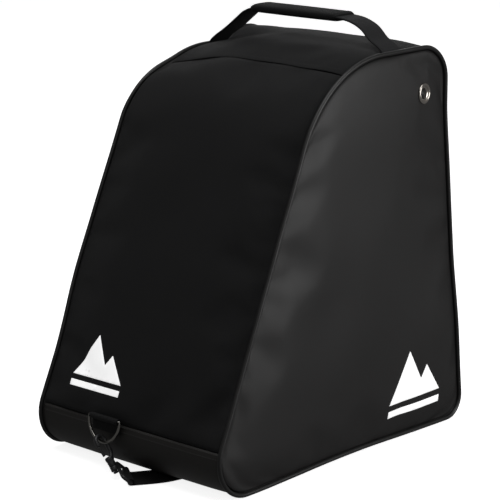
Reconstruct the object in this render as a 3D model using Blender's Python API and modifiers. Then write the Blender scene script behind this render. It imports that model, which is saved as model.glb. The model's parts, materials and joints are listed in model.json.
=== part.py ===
"""Ski boot bag: a wedge-shaped bag of coated fabric with piped side panels, a vented side,
a web carrying handle, a zipped rear door and a clip-on shoulder strap.

Own frame in metres: X across the bag, Y from the leaning front (-Y) to the rear (+Y), Z up.
The origin is on the surface the bag stands on, under the middle of its bounding box.
"""
import math

import bmesh
import bpy
from mathutils import Matrix, Vector

# ---------------------------------------------------------------- driving dimensions
DEPTH = 0.3998            # length of the base, seam corner to seam corner
HEIGHT = 0.4020           # height of the side seams
WIDTH_BASE = 0.2500       # between the side seams at the base
WIDTH_TOP = 0.2400        # between the side seams at the top
FRONT_LEAN = math.radians(24.3)
REAR_LEAN = math.radians(4.7)
RADIUS_FRONT_BOTTOM = 0.038
RADIUS_REAR_BOTTOM = 0.022
RADIUS_REAR_TOP = 0.038
RADIUS_FRONT_TOP = 0.130
SEAM_LIFT = 0.0035        # side seams stand this far above the floor
FRONT_CORNER_Y = -DEPTH / 2 - 0.0053      # where the front line meets the base line
BASE_ARCH = 0.0030        # the base seams arch up by this much at mid length

LINE_STEP = 0.050         # spacing of points along straight seams
ARC_STEP = math.radians(9)
PANEL_STEP = 0.0115       # spacing of the front and top panels' lines

WALL = 0.0022             # outer fabric with its foam and lining
GAP = 0.0004              # running clearance between neighbouring pieces
SEAM_GAP = 0.0012         # between two panels at a lapped seam
PIPING_RADIUS = 0.0023

# where the straight lines of the outline would meet above the two upper corners
FRONT_TOP_Y = FRONT_CORNER_Y + HEIGHT * math.tan(FRONT_LEAN)
REAR_TOP_Y = FRONT_CORNER_Y + DEPTH - HEIGHT * math.tan(REAR_LEAN)

BAND_TOP_Z = 0.0535       # seam between lower front band and front panel
TOP_SEAM_Y = FRONT_TOP_Y + 0.0272         # seam between front panel and top panel
TOP_END_Z = HEIGHT + SEAM_LIFT - 0.0515   # lower edge of the top panel on the rear
DOOR_SILL_Z = 0.0700      # upper edge of the rear lower band

FRONT_CROWN = 0.0070      # how far each panel swells between its seams
TOP_CROWN = 0.0055
SIDE_CROWN = 0.0065
BAND_CROWN = 0.0010
TOP_SEAM_CROWN = 0.0045

DOORWAY_HALF_WIDTH = WIDTH_TOP * 0.4
DOORWAY_TOP_MARGIN = 0.0130
DOORWAY_RADIUS = 0.0380
ZIP_TAPE_WIDTH = 0.0068
ZIP_TAPE_THICKNESS = 0.0012
SLIDER_LENGTH = 0.0110
SLIDER_WIDTH = 0.0086
SLIDER_THICKNESS = 0.0022
SLIDER_SPACING = 0.0070   # each slider's middle from the bag's middle
BRIDGE_RISE = 0.0042
PULLER_LENGTH = 0.0300
PULLER_WIDTH = 0.0076
PULLER_THICKNESS = 0.0018
PULLER_PIN = 0.0014       # bar of the tab's eye, held under the slider's bridge
PULLER_PIN_OFFSET = 0.0013
PULLER_EYE_LENGTH = 0.0038
PULLER_EYE_WIDTH = 0.0042

BINDING_WIDTH = 0.0090
BINDING_THICKNESS = 0.0014

EYELET_Z = HEIGHT + SEAM_LIFT - 0.0460
EYELET_Y = REAR_TOP_Y + 0.0460 * math.tan(REAR_LEAN) - 0.0435
EYELET_OUTER_RADIUS = 0.0108
EYELET_HOLE_RADIUS = 0.0060
EYELET_NECK_WALL = 0.0006
EYELET_FLANGE = 0.0014
EYELET_SEAT = 0.0003      # the flange stands this far off the panel's curve

HANDLE_Y = REAR_TOP_Y - 0.08475
HANDLE_WEB_WIDTH = 0.0290
HANDLE_WEB_THICKNESS = 0.0024
HANDLE_ROOT_Z = HEIGHT + SEAM_LIFT + 0.0035
HANDLE_TOP_Z = HANDLE_ROOT_Z + 0.0275     # middle of the grip
HANDLE_ROOT_X = WIDTH_TOP / 2 - 0.0045
GRIP_LENGTH = WIDTH_TOP * 0.4792
GRIP_WIDTH = 0.0330
GRIP_THICKNESS = 0.0085

STRAP_WIDTH = 0.0380
STRAP_THICKNESS = 0.0014
STRAP_FLOOR_GAP = 0.0005
FOLD_THICKNESS = 0.0052
STRAP_JOIN_GAP = 0.0030   # between the sewn strap end and the run of the strap
FOLD_END_GAP = 0.0060     # between the folded part and the single runs
CHANNEL_HEIGHT = 0.0068   # underside of the base over the folded strap

BASE_END_GAP = 0.0015     # between the base panel and the bands that meet it
BOARD_THICKNESS = 0.0025
BOARD_MARGIN = 0.0120

RING_HALF_WIDTH = STRAP_WIDTH / 2 + 0.0025
RING_DROP = 0.0235
RING_TILT = math.radians(10)     # the ring's bottom hangs this far off the wall
RING_WIRE_RADIUS = 0.0015
RING_BAR_Z = 0.0580
TAB_WIDTH = STRAP_WIDTH + 0.0005
TAB_TAIL = 0.0140
WEB_PLY = 0.0012
FRONT_TAB_X = -WIDTH_BASE * 0.100
REAR_TAB_X = WIDTH_BASE * 0.344

HOOK_WIRE_RADIUS = 0.0022
HOOK_CROWN_RADIUS = 0.0056
HOOK_FORWARD = 0.0015            # the ring's wire lies this far behind the hook's middle
HOOK_BODY_RADIUS = 0.0043
HOOK_BODY_START = 0.0170
HOOK_BODY_END = 0.0270
HOOK_STEM_RADIUS = 0.0016
HOOK_STEM_END = 0.0345
HOOK_TILT = math.radians(38)     # the hook hangs at this angle off the vertical
GATE_RADIUS = 0.0014
BARREL_OUTER_RADIUS = 0.0040
BARREL_LENGTH = 0.0045
LOOP_WIRE_RADIUS = 0.0018
LOOP_HALF_WIDTH = STRAP_WIDTH / 2 + 0.0025
STRAP_END_TAIL = 0.0120

# ---------------------------------------------------------------- scene and materials
for old in list(bpy.data.objects):
    bpy.data.objects.remove(old, do_unlink=True)

BAG = bpy.data.collections.new("ski_boot_bag")
CUTTERS = bpy.data.collections.new("cutters")
bpy.context.scene.collection.children.link(BAG)
bpy.context.scene.collection.children.link(CUTTERS)


def finish(name, colour, roughness, metallic=0.0):
    """A plain Principled material."""
    material = bpy.data.materials.new(name)
    material.use_nodes = True
    shader = material.node_tree.nodes["Principled BSDF"]
    shader.inputs["Base Color"].default_value = (*colour, 1.0)
    shader.inputs["Roughness"].default_value = roughness
    shader.inputs["Metallic"].default_value = metallic
    return material


POLYESTER = finish("polyester", (0.012, 0.012, 0.013), 0.75)
TARPAULIN = finish("tarpaulin", (0.021, 0.020, 0.020), 0.42)
BAND_TARPAULIN = finish("band_tarpaulin", (0.022, 0.020, 0.018), 0.48)
PIPING = finish("piping", (0.008, 0.008, 0.008), 0.40)
WEBBING = finish("webbing", (0.010, 0.010, 0.011), 0.80)
LINING = finish("lining", (0.030, 0.030, 0.032), 0.85)
BOARD = finish("board", (0.045, 0.045, 0.047), 0.60)
NICKEL = finish("nickel", (0.45, 0.43, 0.40), 0.28, 1.0)
SCREEN = finish("screen", (0.020, 0.020, 0.020), 0.55)
PLASTIC = finish("plastic", (0.014, 0.014, 0.015), 0.38)
ZIP_TAPE = finish("zip_tape", (0.010, 0.010, 0.010), 0.80)
ZIP_METAL = finish("zip_metal", (0.06, 0.06, 0.062), 0.35, 0.8)


# ---------------------------------------------------------------- the side outline
def arc_corner(corner, before, after, radius):
    """The arc that rounds a corner: its centre, radius, start angle and turn."""
    back = (before - corner).normalized()
    ahead = (after - corner).normalized()
    half = back.angle(ahead) / 2
    reach = radius / math.tan(half)
    centre = corner + (back + ahead).normalized() * (radius / math.sin(half))
    start = corner + back * reach - centre
    end = corner + ahead * reach - centre
    begin = math.atan2(start.y, start.x)
    turn = math.atan2(end.y, end.x) - begin
    turn = (turn + math.pi) % (2 * math.pi) - math.pi
    return centre, radius, begin, turn


def side_outline():
    """Lines and arcs of the side seam, from the middle of the base, forward, up, over and back."""
    front = Vector((FRONT_CORNER_Y, 0.0))
    rear = Vector((FRONT_CORNER_Y + DEPTH, 0.0))
    rear_top = Vector((rear.x - HEIGHT * math.tan(REAR_LEAN), HEIGHT))
    front_top = Vector((front.x + HEIGHT * math.tan(FRONT_LEAN), HEIGHT))
    corners = [(front, RADIUS_FRONT_BOTTOM), (front_top, RADIUS_FRONT_TOP),
               (rear_top, RADIUS_REAR_TOP), (rear, RADIUS_REAR_BOTTOM)]
    middle = (front + rear) / 2
    points = [middle] + [c for c, _ in corners] + [middle]
    pieces = []
    here = middle
    for i, (corner, radius) in enumerate(corners, start=1):
        centre, radius, begin, turn = arc_corner(corner, points[i - 1], points[i + 1], radius)
        entry = centre + Vector((math.cos(begin), math.sin(begin))) * radius
        pieces.append(("line", here, entry))
        pieces.append(("arc", centre, radius, begin, turn))
        here = centre + Vector((math.cos(begin + turn), math.sin(begin + turn))) * radius
    pieces.append(("line", here, middle))
    return pieces


OUTLINE = side_outline()


def piece_length(piece):
    if piece[0] == "line":
        return (piece[2] - piece[1]).length
    return abs(piece[2] * piece[4])


OUTLINE_LENGTH = sum(piece_length(p) for p in OUTLINE)


def walk(distance):
    """Point and outward direction (as y, z) at a distance along the outline."""
    distance = distance % OUTLINE_LENGTH
    for piece in OUTLINE:
        length = piece_length(piece)
        if distance <= length or piece is OUTLINE[-1]:
            break
        distance -= length
    if piece[0] == "line":
        along = (piece[2] - piece[1]).normalized()
        return piece[1] + along * distance, Vector((-along.y, along.x))
    _, centre, radius, begin, turn = piece
    angle = begin + turn * distance / length
    outward = Vector((math.cos(angle), math.sin(angle)))
    return centre + outward * radius, outward


def seam_stations():
    """Distances along the whole outline, close together on the arcs and wide apart on the lines."""
    stations = []
    start = 0.0
    for piece in OUTLINE:
        length = piece_length(piece)
        if piece[0] == "line":
            count = math.ceil(length / LINE_STEP)
        else:
            count = math.ceil(abs(piece[4]) / ARC_STEP)
        stations += [start + length * i / count for i in range(count)]
        start += length
    return stations


STATIONS = seam_stations()


def station(share):
    """The station at a share of the way round."""
    return STATIONS[round(share * len(STATIONS)) % len(STATIONS)]


def find_distance(test, low, high):
    """Bisect the outline between two distances for the place where test turns true."""
    for _ in range(40):
        middle = (low + high) / 2
        if test(walk(middle)[0]):
            high = middle
        else:
            low = middle
    return high


def piece_start(index):
    return sum(piece_length(p) for p in OUTLINE[:index])


FRONT_BOTTOM_ARC = piece_start(1)
FRONT_LINE = piece_start(2)
FRONT_TOP_ARC = piece_start(3)
TOP_LINE = piece_start(4)
REAR_TOP_ARC = piece_start(5)
REAR_LINE = piece_start(6)
REAR_BOTTOM_ARC = piece_start(7)
BASE_REAR_LINE = piece_start(8)

BAND_END = find_distance(lambda p: p.y > BAND_TOP_Z - SEAM_LIFT, FRONT_BOTTOM_ARC, FRONT_TOP_ARC)
TOP_SEAM = find_distance(lambda p: p.x > TOP_SEAM_Y, FRONT_TOP_ARC, REAR_TOP_ARC)
TOP_END = find_distance(lambda p: p.y < TOP_END_Z - SEAM_LIFT, REAR_TOP_ARC, REAR_BOTTOM_ARC)
DOOR_SILL = find_distance(lambda p: p.y < DOOR_SILL_Z - SEAM_LIFT, REAR_TOP_ARC, BASE_REAR_LINE)


def base_arch(y, z):
    """The base seams arch up between the rounded corners."""
    front, _ = walk(FRONT_BOTTOM_ARC)
    rear, _ = walk(BASE_REAR_LINE)
    share = (y - front.x) / (rear.x - front.x)
    if z > RADIUS_REAR_BOTTOM or not 0 < share < 1:
        return 0.0
    return BASE_ARCH * math.sin(math.pi * share) ** 2 * (1 - z / RADIUS_REAR_BOTTOM)


def half_width(z):
    share = min(max(z / HEIGHT, 0), 1)
    return (WIDTH_BASE + (WIDTH_TOP - WIDTH_BASE) * share) / 2


def seam_point(distance, outward=0.0, inset_x=0.0, side=1):
    """A point near the side seam, moved outward in the seam's plane and inward along X."""
    place, normal = walk(distance)
    place = place + normal * outward
    x = half_width(place.y) - inset_x
    return Vector((side * x, place.x, place.y + base_arch(place.x, place.y) + SEAM_LIFT))


# ---------------------------------------------------------------- making solids
def place(obj, material, collection=BAG):
    obj.data.materials.clear()
    obj.data.materials.append(material)
    for owner in list(obj.users_collection):
        owner.objects.unlink(obj)
    collection.objects.link(obj)
    return obj


def from_bmesh(name, mesh_builder, material, smooth=True):
    mesh = bpy.data.meshes.new(name)
    mesh_builder.to_mesh(mesh)
    mesh_builder.free()
    if smooth:
        mesh.shade_smooth()
        mesh.set_sharp_from_angle(angle=math.radians(40))
    obj = bpy.data.objects.new(name, mesh)
    return place(obj, material)


def surface(name, across, along, where, material, thickness=WALL, closed=False):
    """A grid mapped by where(u, v) and given a thickness inward."""
    builder = bmesh.new()
    bmesh.ops.create_grid(builder, x_segments=across, y_segments=along, size=0.5)
    for vertex in builder.verts:
        vertex.co = where(vertex.co.x + 0.5, vertex.co.y + 0.5)
    if closed:
        bmesh.ops.remove_doubles(builder, verts=builder.verts, dist=1e-6)
    obj = from_bmesh(name, builder, material)
    wall = obj.modifiers.new("wall", "SOLIDIFY")
    wall.thickness = thickness
    wall.offset = -1
    wall.use_even_offset = True
    return obj


def baked(obj):
    """Replace an object by a plain mesh of its evaluated shape."""
    bpy.context.view_layer.update()
    evaluated = obj.evaluated_get(bpy.context.evaluated_depsgraph_get())
    mesh = bpy.data.meshes.new_from_object(evaluated)
    builder = bmesh.new()
    builder.from_mesh(mesh)
    bmesh.ops.remove_doubles(builder, verts=builder.verts, dist=1e-6)
    bmesh.ops.recalc_face_normals(builder, faces=builder.faces)
    builder.to_mesh(mesh)
    builder.free()
    name = obj.name
    matrix = obj.matrix_world.copy()
    bpy.data.objects.remove(obj, do_unlink=True)
    solid = bpy.data.objects.new(name, mesh)
    solid.matrix_world = matrix
    BAG.objects.link(solid)
    return solid


def tube(name, points, radius, material, closed=False, sides=2):
    """A round wire or cord through the points."""
    curve = bpy.data.curves.new(name, "CURVE")
    curve.dimensions = "3D"
    curve.bevel_depth = radius
    curve.bevel_resolution = sides
    curve.use_fill_caps = not closed
    spline = curve.splines.new("POLY")
    spline.points.add(len(points) - 1)
    for target, point in zip(spline.points, points):
        target.co = (*point, 1)
    spline.use_cyclic_u = closed
    obj = bpy.data.objects.new(name, curve)
    BAG.objects.link(obj)
    return place(obj, material)


def plate(name, outlines, thickness, material, matrix=Matrix.Identity(4)):
    """A flat plate from closed outlines; an outline inside another is a hole."""
    curve = bpy.data.curves.new(name, "CURVE")
    curve.dimensions = "2D"
    curve.fill_mode = "BOTH"
    curve.extrude = thickness / 2
    for outline in outlines:
        spline = curve.splines.new("POLY")
        spline.points.add(len(outline) - 1)
        for target, point in zip(spline.points, outline):
            target.co = (point[0], point[1], 0, 1)
        spline.use_cyclic_u = True
    obj = bpy.data.objects.new(name, curve)
    obj.matrix_world = matrix
    BAG.objects.link(obj)
    return place(obj, material)


def turned(name, profile, material, matrix, steps=32):
    """A closed profile of (radius, height) turned about the local Z axis."""
    mesh = bpy.data.meshes.new(name)
    count = len(profile)
    mesh.from_pydata([(r, 0, h) for r, h in profile], [(i, (i + 1) % count) for i in range(count)], [])
    obj = bpy.data.objects.new(name, mesh)
    obj.matrix_world = matrix
    BAG.objects.link(obj)
    screw = obj.modifiers.new("turn", "SCREW")
    screw.steps = steps
    screw.render_steps = steps
    screw.merge_threshold = 1e-6
    screw.use_merge_vertices = True
    return baked(place(obj, material))


def rounded_box(name, size, centre, material, bevel=0.0, turn=Matrix.Identity(3)):
    builder = bmesh.new()
    bmesh.ops.create_cube(builder, size=1)
    bmesh.ops.scale(builder, vec=size, verts=builder.verts)
    obj = from_bmesh(name, builder, material)
    obj.matrix_world = Matrix.Translation(centre) @ turn.to_4x4()
    if bevel:
        edge = obj.modifiers.new("edges", "BEVEL")
        edge.width = bevel
        edge.segments = 2
    return obj


def cylinder_between(name, start, end, radius, material, steps=24, end_radius=None):
    """A cylinder or cone from one point to another."""
    start = Vector(start)
    end = Vector(end)
    builder = bmesh.new()
    bmesh.ops.create_cone(builder, cap_ends=True, segments=steps, radius1=radius,
                          radius2=radius if end_radius is None else end_radius,
                          depth=(end - start).length)
    obj = from_bmesh(name, builder, material)
    turn = (end - start).to_track_quat("Z", "Y").to_matrix().to_4x4()
    obj.matrix_world = Matrix.Translation((start + end) / 2) @ turn
    return obj


def combine(target, tool, operation="UNION"):
    """Boolean of two solids; the tool becomes a hidden cutter."""
    target = baked(target)
    tool = baked(tool)
    BAG.objects.unlink(tool)
    CUTTERS.objects.link(tool)
    tool.hide_render = True
    tool.display_type = "WIRE"
    step = target.modifiers.new(operation.lower(), "BOOLEAN")
    step.operation = operation
    step.object = tool
    return target


def arch(half, top, radius, bottom, steps=8):
    """An upside-down U from lower left to lower right with rounded upper corners."""
    points = [(-half, bottom)]
    for i in range(steps + 1):
        angle = math.pi - i * math.pi / 2 / steps
        points.append((-half + radius + radius * math.cos(angle), top - radius + radius * math.sin(angle)))
    for i in range(steps + 1):
        angle = math.pi / 2 - i * math.pi / 2 / steps
        points.append((half - radius + radius * math.cos(angle), top - radius + radius * math.sin(angle)))
    points.append((half, bottom))
    return points


# ---------------------------------------------------------------- body panels
EDGE = PIPING_RADIUS + GAP       # panels stop this far from the seam's middle


def swell(u, height):
    """How far a panel stands proud across its width."""
    across = abs(2 * u - 1)
    return height * (1 - across ** 4)


def strip_surface(start, end, crown, extra=None):
    """A map for a panel that follows the outline between two distances."""
    def where(u, v):
        distance = start + (end - start) * v
        place_yz, normal = walk(distance)
        lift = swell(u, crown(v))
        flat = place_yz + normal * lift
        half = half_width(place_yz.y) - EDGE
        point = Vector((half * (2 * u - 1), flat.x,
                        flat.y + base_arch(place_yz.x, place_yz.y) + SEAM_LIFT))
        return extra(u, v, point) if extra else point
    return where


def make_panels():
    def band_crown(v):
        return BAND_CROWN

    def front_crown(v):
        return BAND_CROWN + (TOP_SEAM_CROWN - BAND_CROWN) * v + FRONT_CROWN * math.sin(math.pi * v)

    def top_crown(v):
        return TOP_SEAM_CROWN * (1 - v) + TOP_CROWN * math.sin(math.pi * v)

    def lines(start, end):
        return max(8, math.ceil((end - start) / PANEL_STEP))

    surface("lower_front_band", 8, 8, strip_surface(FRONT_BOTTOM_ARC, BAND_END - SEAM_GAP / 2, band_crown),
            BAND_TARPAULIN)
    surface("front_panel", 12, lines(BAND_END, TOP_SEAM), strip_surface(BAND_END + SEAM_GAP / 2, TOP_SEAM - SEAM_GAP / 2, front_crown),
            POLYESTER)
    surface("top_panel", 12, lines(TOP_SEAM, TOP_END), strip_surface(TOP_SEAM + SEAM_GAP / 2, TOP_END - SEAM_GAP / 2, top_crown),
            POLYESTER)
    surface("rear_lower_band", 8, 8,
            strip_surface(DOOR_SILL + GAP, BASE_REAR_LINE, lambda v: 0.0), BAND_TARPAULIN)


def strap_line_x(y):
    """The middle of the strap under the base."""
    front = STRAP_FRONT[-1]
    rear = STRAP_REAR[0]
    share = (y - front[1]) / (rear[1] - front[1])
    return front[0] + (rear[0] - front[0]) * share


def smooth_step(value):
    value = min(max(value, 0), 1)
    return value * value * (3 - 2 * value)


def base_height(x, y, seam_height, share_u, share_v):
    """Underside of the base: on the floor, lifted at its edges and over the folded strap."""
    from_edge = min(share_u, 1 - share_u) * WIDTH_BASE
    from_end = min(share_v, 1 - share_v) * DEPTH
    sag = smooth_step(from_edge / 0.018) * smooth_step(from_end / 0.018)
    height = seam_height * (1 - sag)
    beside = abs(x - strap_line_x(y)) - STRAP_WIDTH / 2 - 0.003
    return max(height, CHANNEL_HEIGHT * (1 - smooth_step(beside / 0.016)))


def make_base():
    start, _ = walk(FRONT_BOTTOM_ARC - BASE_END_GAP)
    end, _ = walk(BASE_REAR_LINE + BASE_END_GAP)
    half = WIDTH_BASE / 2 - EDGE

    def where(u, v):
        y = end.x + (start.x - end.x) * v
        x = half * (2 * u - 1)
        seam = SEAM_LIFT + base_arch(y, 0.0)
        return Vector((x, y, base_height(x, y, seam, u, v)))

    surface("base_panel", 28, 14, where, BAND_TARPAULIN)
    floor = CHANNEL_HEIGHT + WALL + GAP
    board_half = WIDTH_BASE / 2 - BOARD_MARGIN
    corner = RADIUS_REAR_BOTTOM
    outline = []
    for cx, cy, first in ((1, 1, 0), (-1, 1, 1), (-1, -1, 2), (1, -1, 3)):
        middle_x = cx * (board_half - corner)
        middle_y = (end.x - BOARD_MARGIN if cy > 0 else start.x + BOARD_MARGIN) - cy * corner
        for i in range(5):
            angle = first * math.pi / 2 + i * math.pi / 8
            outline.append((middle_x + corner * math.cos(angle), middle_y + corner * math.sin(angle)))
    plate("base_board", [outline], BOARD_THICKNESS, BOARD,
          Matrix.Translation((0, 0, floor + BOARD_THICKNESS / 2)))


def make_side(name, side):
    """One pillowed side panel, bordered by the piping, with the eyelet's hole in it."""
    middle = Vector((FRONT_CORNER_Y + DEPTH * 0.58, HEIGHT * 0.47))

    def where(u, v):
        distance = station(u if side < 0 else 1 - u)
        edge, normal = walk(distance)
        edge = edge - normal * EDGE
        point = middle + (edge - middle) * v
        x = half_width(point.y) + SIDE_CROWN * (1 - v ** 5)
        arch_lift = base_arch(edge.x, edge.y) * v
        return Vector((side * x, point.x, point.y + arch_lift + SEAM_LIFT))

    panel = baked(surface(name, len(STATIONS), 7, where, TARPAULIN, closed=True))
    _, spot, facing, _ = panel.ray_cast(Vector((side, EYELET_Y, EYELET_Z)), Vector((-side, 0, 0)))
    cutter = cylinder_between("eyelet_cut_" + name, spot + facing * 0.02, spot - facing * 0.02,
                              EYELET_HOLE_RADIUS, TARPAULIN)
    combine(panel, cutter, "DIFFERENCE")
    return spot, facing


def make_seams(word, side):
    piping = [seam_point(distance, side=side) for distance in STATIONS]
    tube("piping_" + word, piping, PIPING_RADIUS, PIPING, closed=True, sides=2)

    inner = WALL + EDGE + GAP

    def where(u, v):
        distance = station(v if side > 0 else 1 - v)
        outward = -(WALL + 2 * GAP) - BINDING_WIDTH * u
        return seam_point(distance, outward, inner, side)

    surface("seam_binding_" + word, 1, len(STATIONS), where, LINING, BINDING_THICKNESS, closed=True)


# ---------------------------------------------------------------- vents
def make_eyelet(word, spot, facing):
    """Flange, washer and screen of a vent, seated on the panel at a spot that faces outward."""
    spot = spot + facing * EYELET_SEAT
    seat = Matrix.Translation(spot) @ facing.to_track_quat("Z", "Y").to_matrix().to_4x4()
    neck = EYELET_HOLE_RADIUS - GAP
    bore = neck - EYELET_NECK_WALL
    bottom = -WALL - 0.0060
    flange = [(bore, EYELET_FLANGE * 0.6), (bore, bottom), (neck, bottom), (neck, GAP),
              (EYELET_OUTER_RADIUS, GAP), (EYELET_OUTER_RADIUS - 0.0008, EYELET_FLANGE * 0.8),
              ((EYELET_OUTER_RADIUS + neck) / 2, EYELET_FLANGE + GAP)]
    turned("eyelet_" + word, flange, NICKEL, seat)
    washer_top = -WALL - 0.0028
    washer = [(neck + GAP, washer_top), (EYELET_OUTER_RADIUS, washer_top),
              (EYELET_OUTER_RADIUS, washer_top - 0.0008), (neck + GAP, washer_top - 0.0008)]
    turned("eyelet_washer_" + word, washer, NICKEL, seat)
    cylinder_between("vent_screen_" + word, spot - facing * 0.0022, spot - facing * 0.0014,
                     bore - GAP, SCREEN)


# ---------------------------------------------------------------- handle
def handle_path():
    """Middle line of the webbing from the left root over to the right root, as (x, z)."""
    top = HANDLE_TOP_Z
    grip_end = GRIP_LENGTH / 2
    bend = ((1.0, HANDLE_ROOT_Z), (0.88, HANDLE_ROOT_Z + 0.0045), (0.75, top - 0.0190), (0.56, top - 0.0085),
            (0.353, top - 0.0030), (0.147, top - 0.0006))
    half = [(grip_end + (HANDLE_ROOT_X - grip_end) * share, z) for share, z in bend]
    half += [(grip_end * 0.87, top), (grip_end * 0.435, top)]
    return [(-x, z) for x, z in half] + [(0, top)] + [(x, z) for x, z in reversed(half)]


def web_strip(name, path, width, thickness, material, frame=Matrix.Identity(4)):
    """Flat webbing whose middle line is a list of (x, z) in the frame's XZ plane."""
    def where(u, v):
        position = v * (len(path) - 1)
        index = min(int(position + 1e-6), len(path) - 2)
        share = position - index
        a = Vector(path[index])
        b = Vector(path[index + 1])
        before = Vector(path[max(index - (share < 1e-3), 0)])
        after = Vector(path[min(index + 1 + (share > 1 - 1e-3), len(path) - 1)])
        along = (after - before).normalized()
        centre = a.lerp(b, share)
        lifted = centre + Vector((-along.y, along.x)) * thickness / 2
        return frame @ Vector((lifted.x, width * (0.5 - u), lifted.y))

    return surface(name, 2, len(path) - 1, where, material, thickness)


def make_handle():
    frame = Matrix.Translation((0, HANDLE_Y, 0))
    path = handle_path()
    web_strip("handle_webbing", path, HANDLE_WEB_WIDTH, HANDLE_WEB_THICKNESS, WEBBING, frame)
    grip = rounded_box("handle_grip", (GRIP_LENGTH, GRIP_WIDTH, GRIP_THICKNESS),
                       (0, HANDLE_Y, HANDLE_TOP_Z), POLYESTER, GRIP_THICKNESS * 0.35)
    bore = rounded_box("grip_bore", (GRIP_LENGTH * 1.2, HANDLE_WEB_WIDTH + 2 * GAP,
                                     HANDLE_WEB_THICKNESS + 2 * GAP),
                       (0, HANDLE_Y, HANDLE_TOP_Z), POLYESTER)
    combine(grip, bore, "DIFFERENCE")


# ---------------------------------------------------------------- rear door and its zip
def rear_frame_matrix(depth):
    """Local X across (towards -X), local Y up the rear wall, local Z outward, at a depth below it."""
    foot, outward = walk(DOOR_SILL)
    out = Vector((0, outward.x, outward.y))
    up = Vector((0, -outward.y, outward.x))
    across = up.cross(out)
    origin = Vector((0, foot.x, foot.y + SEAM_LIFT)) - out * depth
    basis = Matrix((across, up, out)).transposed().to_4x4()
    return Matrix.Translation(origin) @ basis


REAR_HEIGHT = DOOR_SILL - TOP_END          # from the sill up to the top panel
DOORWAY_TOP = REAR_HEIGHT - DOORWAY_TOP_MARGIN


def make_rear():
    middle_layer = rear_frame_matrix(WALL / 2)
    sill_z = walk(DOOR_SILL)[0].y
    head_z = walk(TOP_END)[0].y
    low = half_width(sill_z) - EDGE
    high = half_width(head_z) - EDGE
    doorway = arch(DOORWAY_HALF_WIDTH, DOORWAY_TOP, DOORWAY_RADIUS, 0.0)
    border = [(-low, 0), (-high, REAR_HEIGHT - GAP), (high, REAR_HEIGHT - GAP), (low, 0)]
    plate("rear_frame", [border + list(reversed(doorway))], WALL, TARPAULIN, middle_layer)

    def band(name, inset, width, material):
        outer = arch(DOORWAY_HALF_WIDTH - inset, DOORWAY_TOP - inset, DOORWAY_RADIUS - inset, GAP)
        inner_inset = inset + width
        inner = arch(DOORWAY_HALF_WIDTH - inner_inset, DOORWAY_TOP - inner_inset,
                     DOORWAY_RADIUS - inner_inset, GAP)
        layer = rear_frame_matrix(ZIP_TAPE_THICKNESS / 2 + 0.0004)
        plate(name, [outer + list(reversed(inner))], ZIP_TAPE_THICKNESS, material, layer)

    band("zip_tape_fixed", GAP, ZIP_TAPE_WIDTH, ZIP_TAPE)
    band("zip_tape_door", 2 * GAP + ZIP_TAPE_WIDTH, ZIP_TAPE_WIDTH, ZIP_TAPE)
    inset = 3 * GAP + 2 * ZIP_TAPE_WIDTH
    door = arch(DOORWAY_HALF_WIDTH - inset, DOORWAY_TOP - inset, DOORWAY_RADIUS - inset, GAP)
    plate("rear_door", [door], WALL, POLYESTER, middle_layer)


def make_zip_slider(word, side):
    """A slider over the chain at the top of the doorway, and its pull tab."""
    seat = rear_frame_matrix(0)
    run = DOORWAY_TOP - 1.5 * GAP - ZIP_TAPE_WIDTH
    bottom = 0.0006
    body_centre = seat @ Vector((-side * SLIDER_SPACING, run, bottom + SLIDER_THICKNESS / 2))
    turn = seat.to_3x3()
    body = rounded_box("zip_slider_" + word, (SLIDER_LENGTH, SLIDER_WIDTH, SLIDER_THICKNESS),
                       body_centre, ZIP_METAL, 0.0006, turn)
    top = bottom + SLIDER_THICKNESS
    bridge_rise = BRIDGE_RISE
    bridge = [(-0.0030, -0.0004), (-0.0030, bridge_rise * 0.6), (-0.0014, bridge_rise),
              (0.0014, bridge_rise), (0.0030, bridge_rise * 0.6), (0.0030, -0.0004)]
    points = [seat @ Vector((-side * SLIDER_SPACING + x, run, top + z)) for x, z in bridge]
    combine(body, tube("slider_bridge_" + word, points, 0.0007, ZIP_METAL))

    # the tab lies flat, pointing away from the middle; its eye goes round the bridge
    tab_height = top + GAP + PULLER_THICKNESS / 2
    start = -PULLER_PIN / 2
    outline = []
    for i in range(9):
        angle = math.pi / 2 - i * math.pi / 8
        outline.append((PULLER_LENGTH + PULLER_WIDTH / 2 * math.cos(angle) - PULLER_WIDTH / 2,
                        PULLER_WIDTH / 2 * math.sin(angle)))
    outline += [(start, -PULLER_WIDTH / 2), (start, PULLER_WIDTH / 2)]
    eye_start = PULLER_PIN / 2
    eye_end = eye_start + PULLER_EYE_LENGTH
    eye = PULLER_EYE_WIDTH / 2
    hole = [(eye_start, -eye), (eye_end, -eye), (eye_end, eye), (eye_start, eye)]
    pin = seat @ Vector((-side * (SLIDER_SPACING + PULLER_PIN_OFFSET), run, tab_height))
    flip = seat.to_3x3().to_4x4() @ (Matrix.Rotation(math.pi, 4, "Z") if side > 0 else Matrix.Identity(4))
    plate("zip_puller_" + word, [outline, hole], PULLER_THICKNESS, ZIP_METAL,
          Matrix.Translation(pin) @ flip)


# ---------------------------------------------------------------- clips and shoulder strap
def loop_section(inner, ply, tail):
    """Section of webbing folded round a bar: a ring with a tail tangent to it, as (y, z) pairs."""
    outer = inner + ply
    ring = []
    for i in range(19):
        angle = -i * (1.5 * math.pi) / 18
        ring.append((outer * math.cos(angle), outer * math.sin(angle)))
    crotch = math.sqrt(outer ** 2 - inner ** 2)
    outline = [(outer, -tail)]
    outline += [(outer, 0.0)]
    for i in range(1, 18):
        angle = i * (2 * math.pi - math.acos(inner / outer)) / 17
        outline.append((outer * math.cos(angle), outer * math.sin(angle)))
    outline.append((inner, -crotch))
    outline.append((inner, -tail))
    hole = [(inner * math.cos(i * math.pi / 8), inner * math.sin(i * math.pi / 8)) for i in range(16)]
    return [outline, hole]


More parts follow.
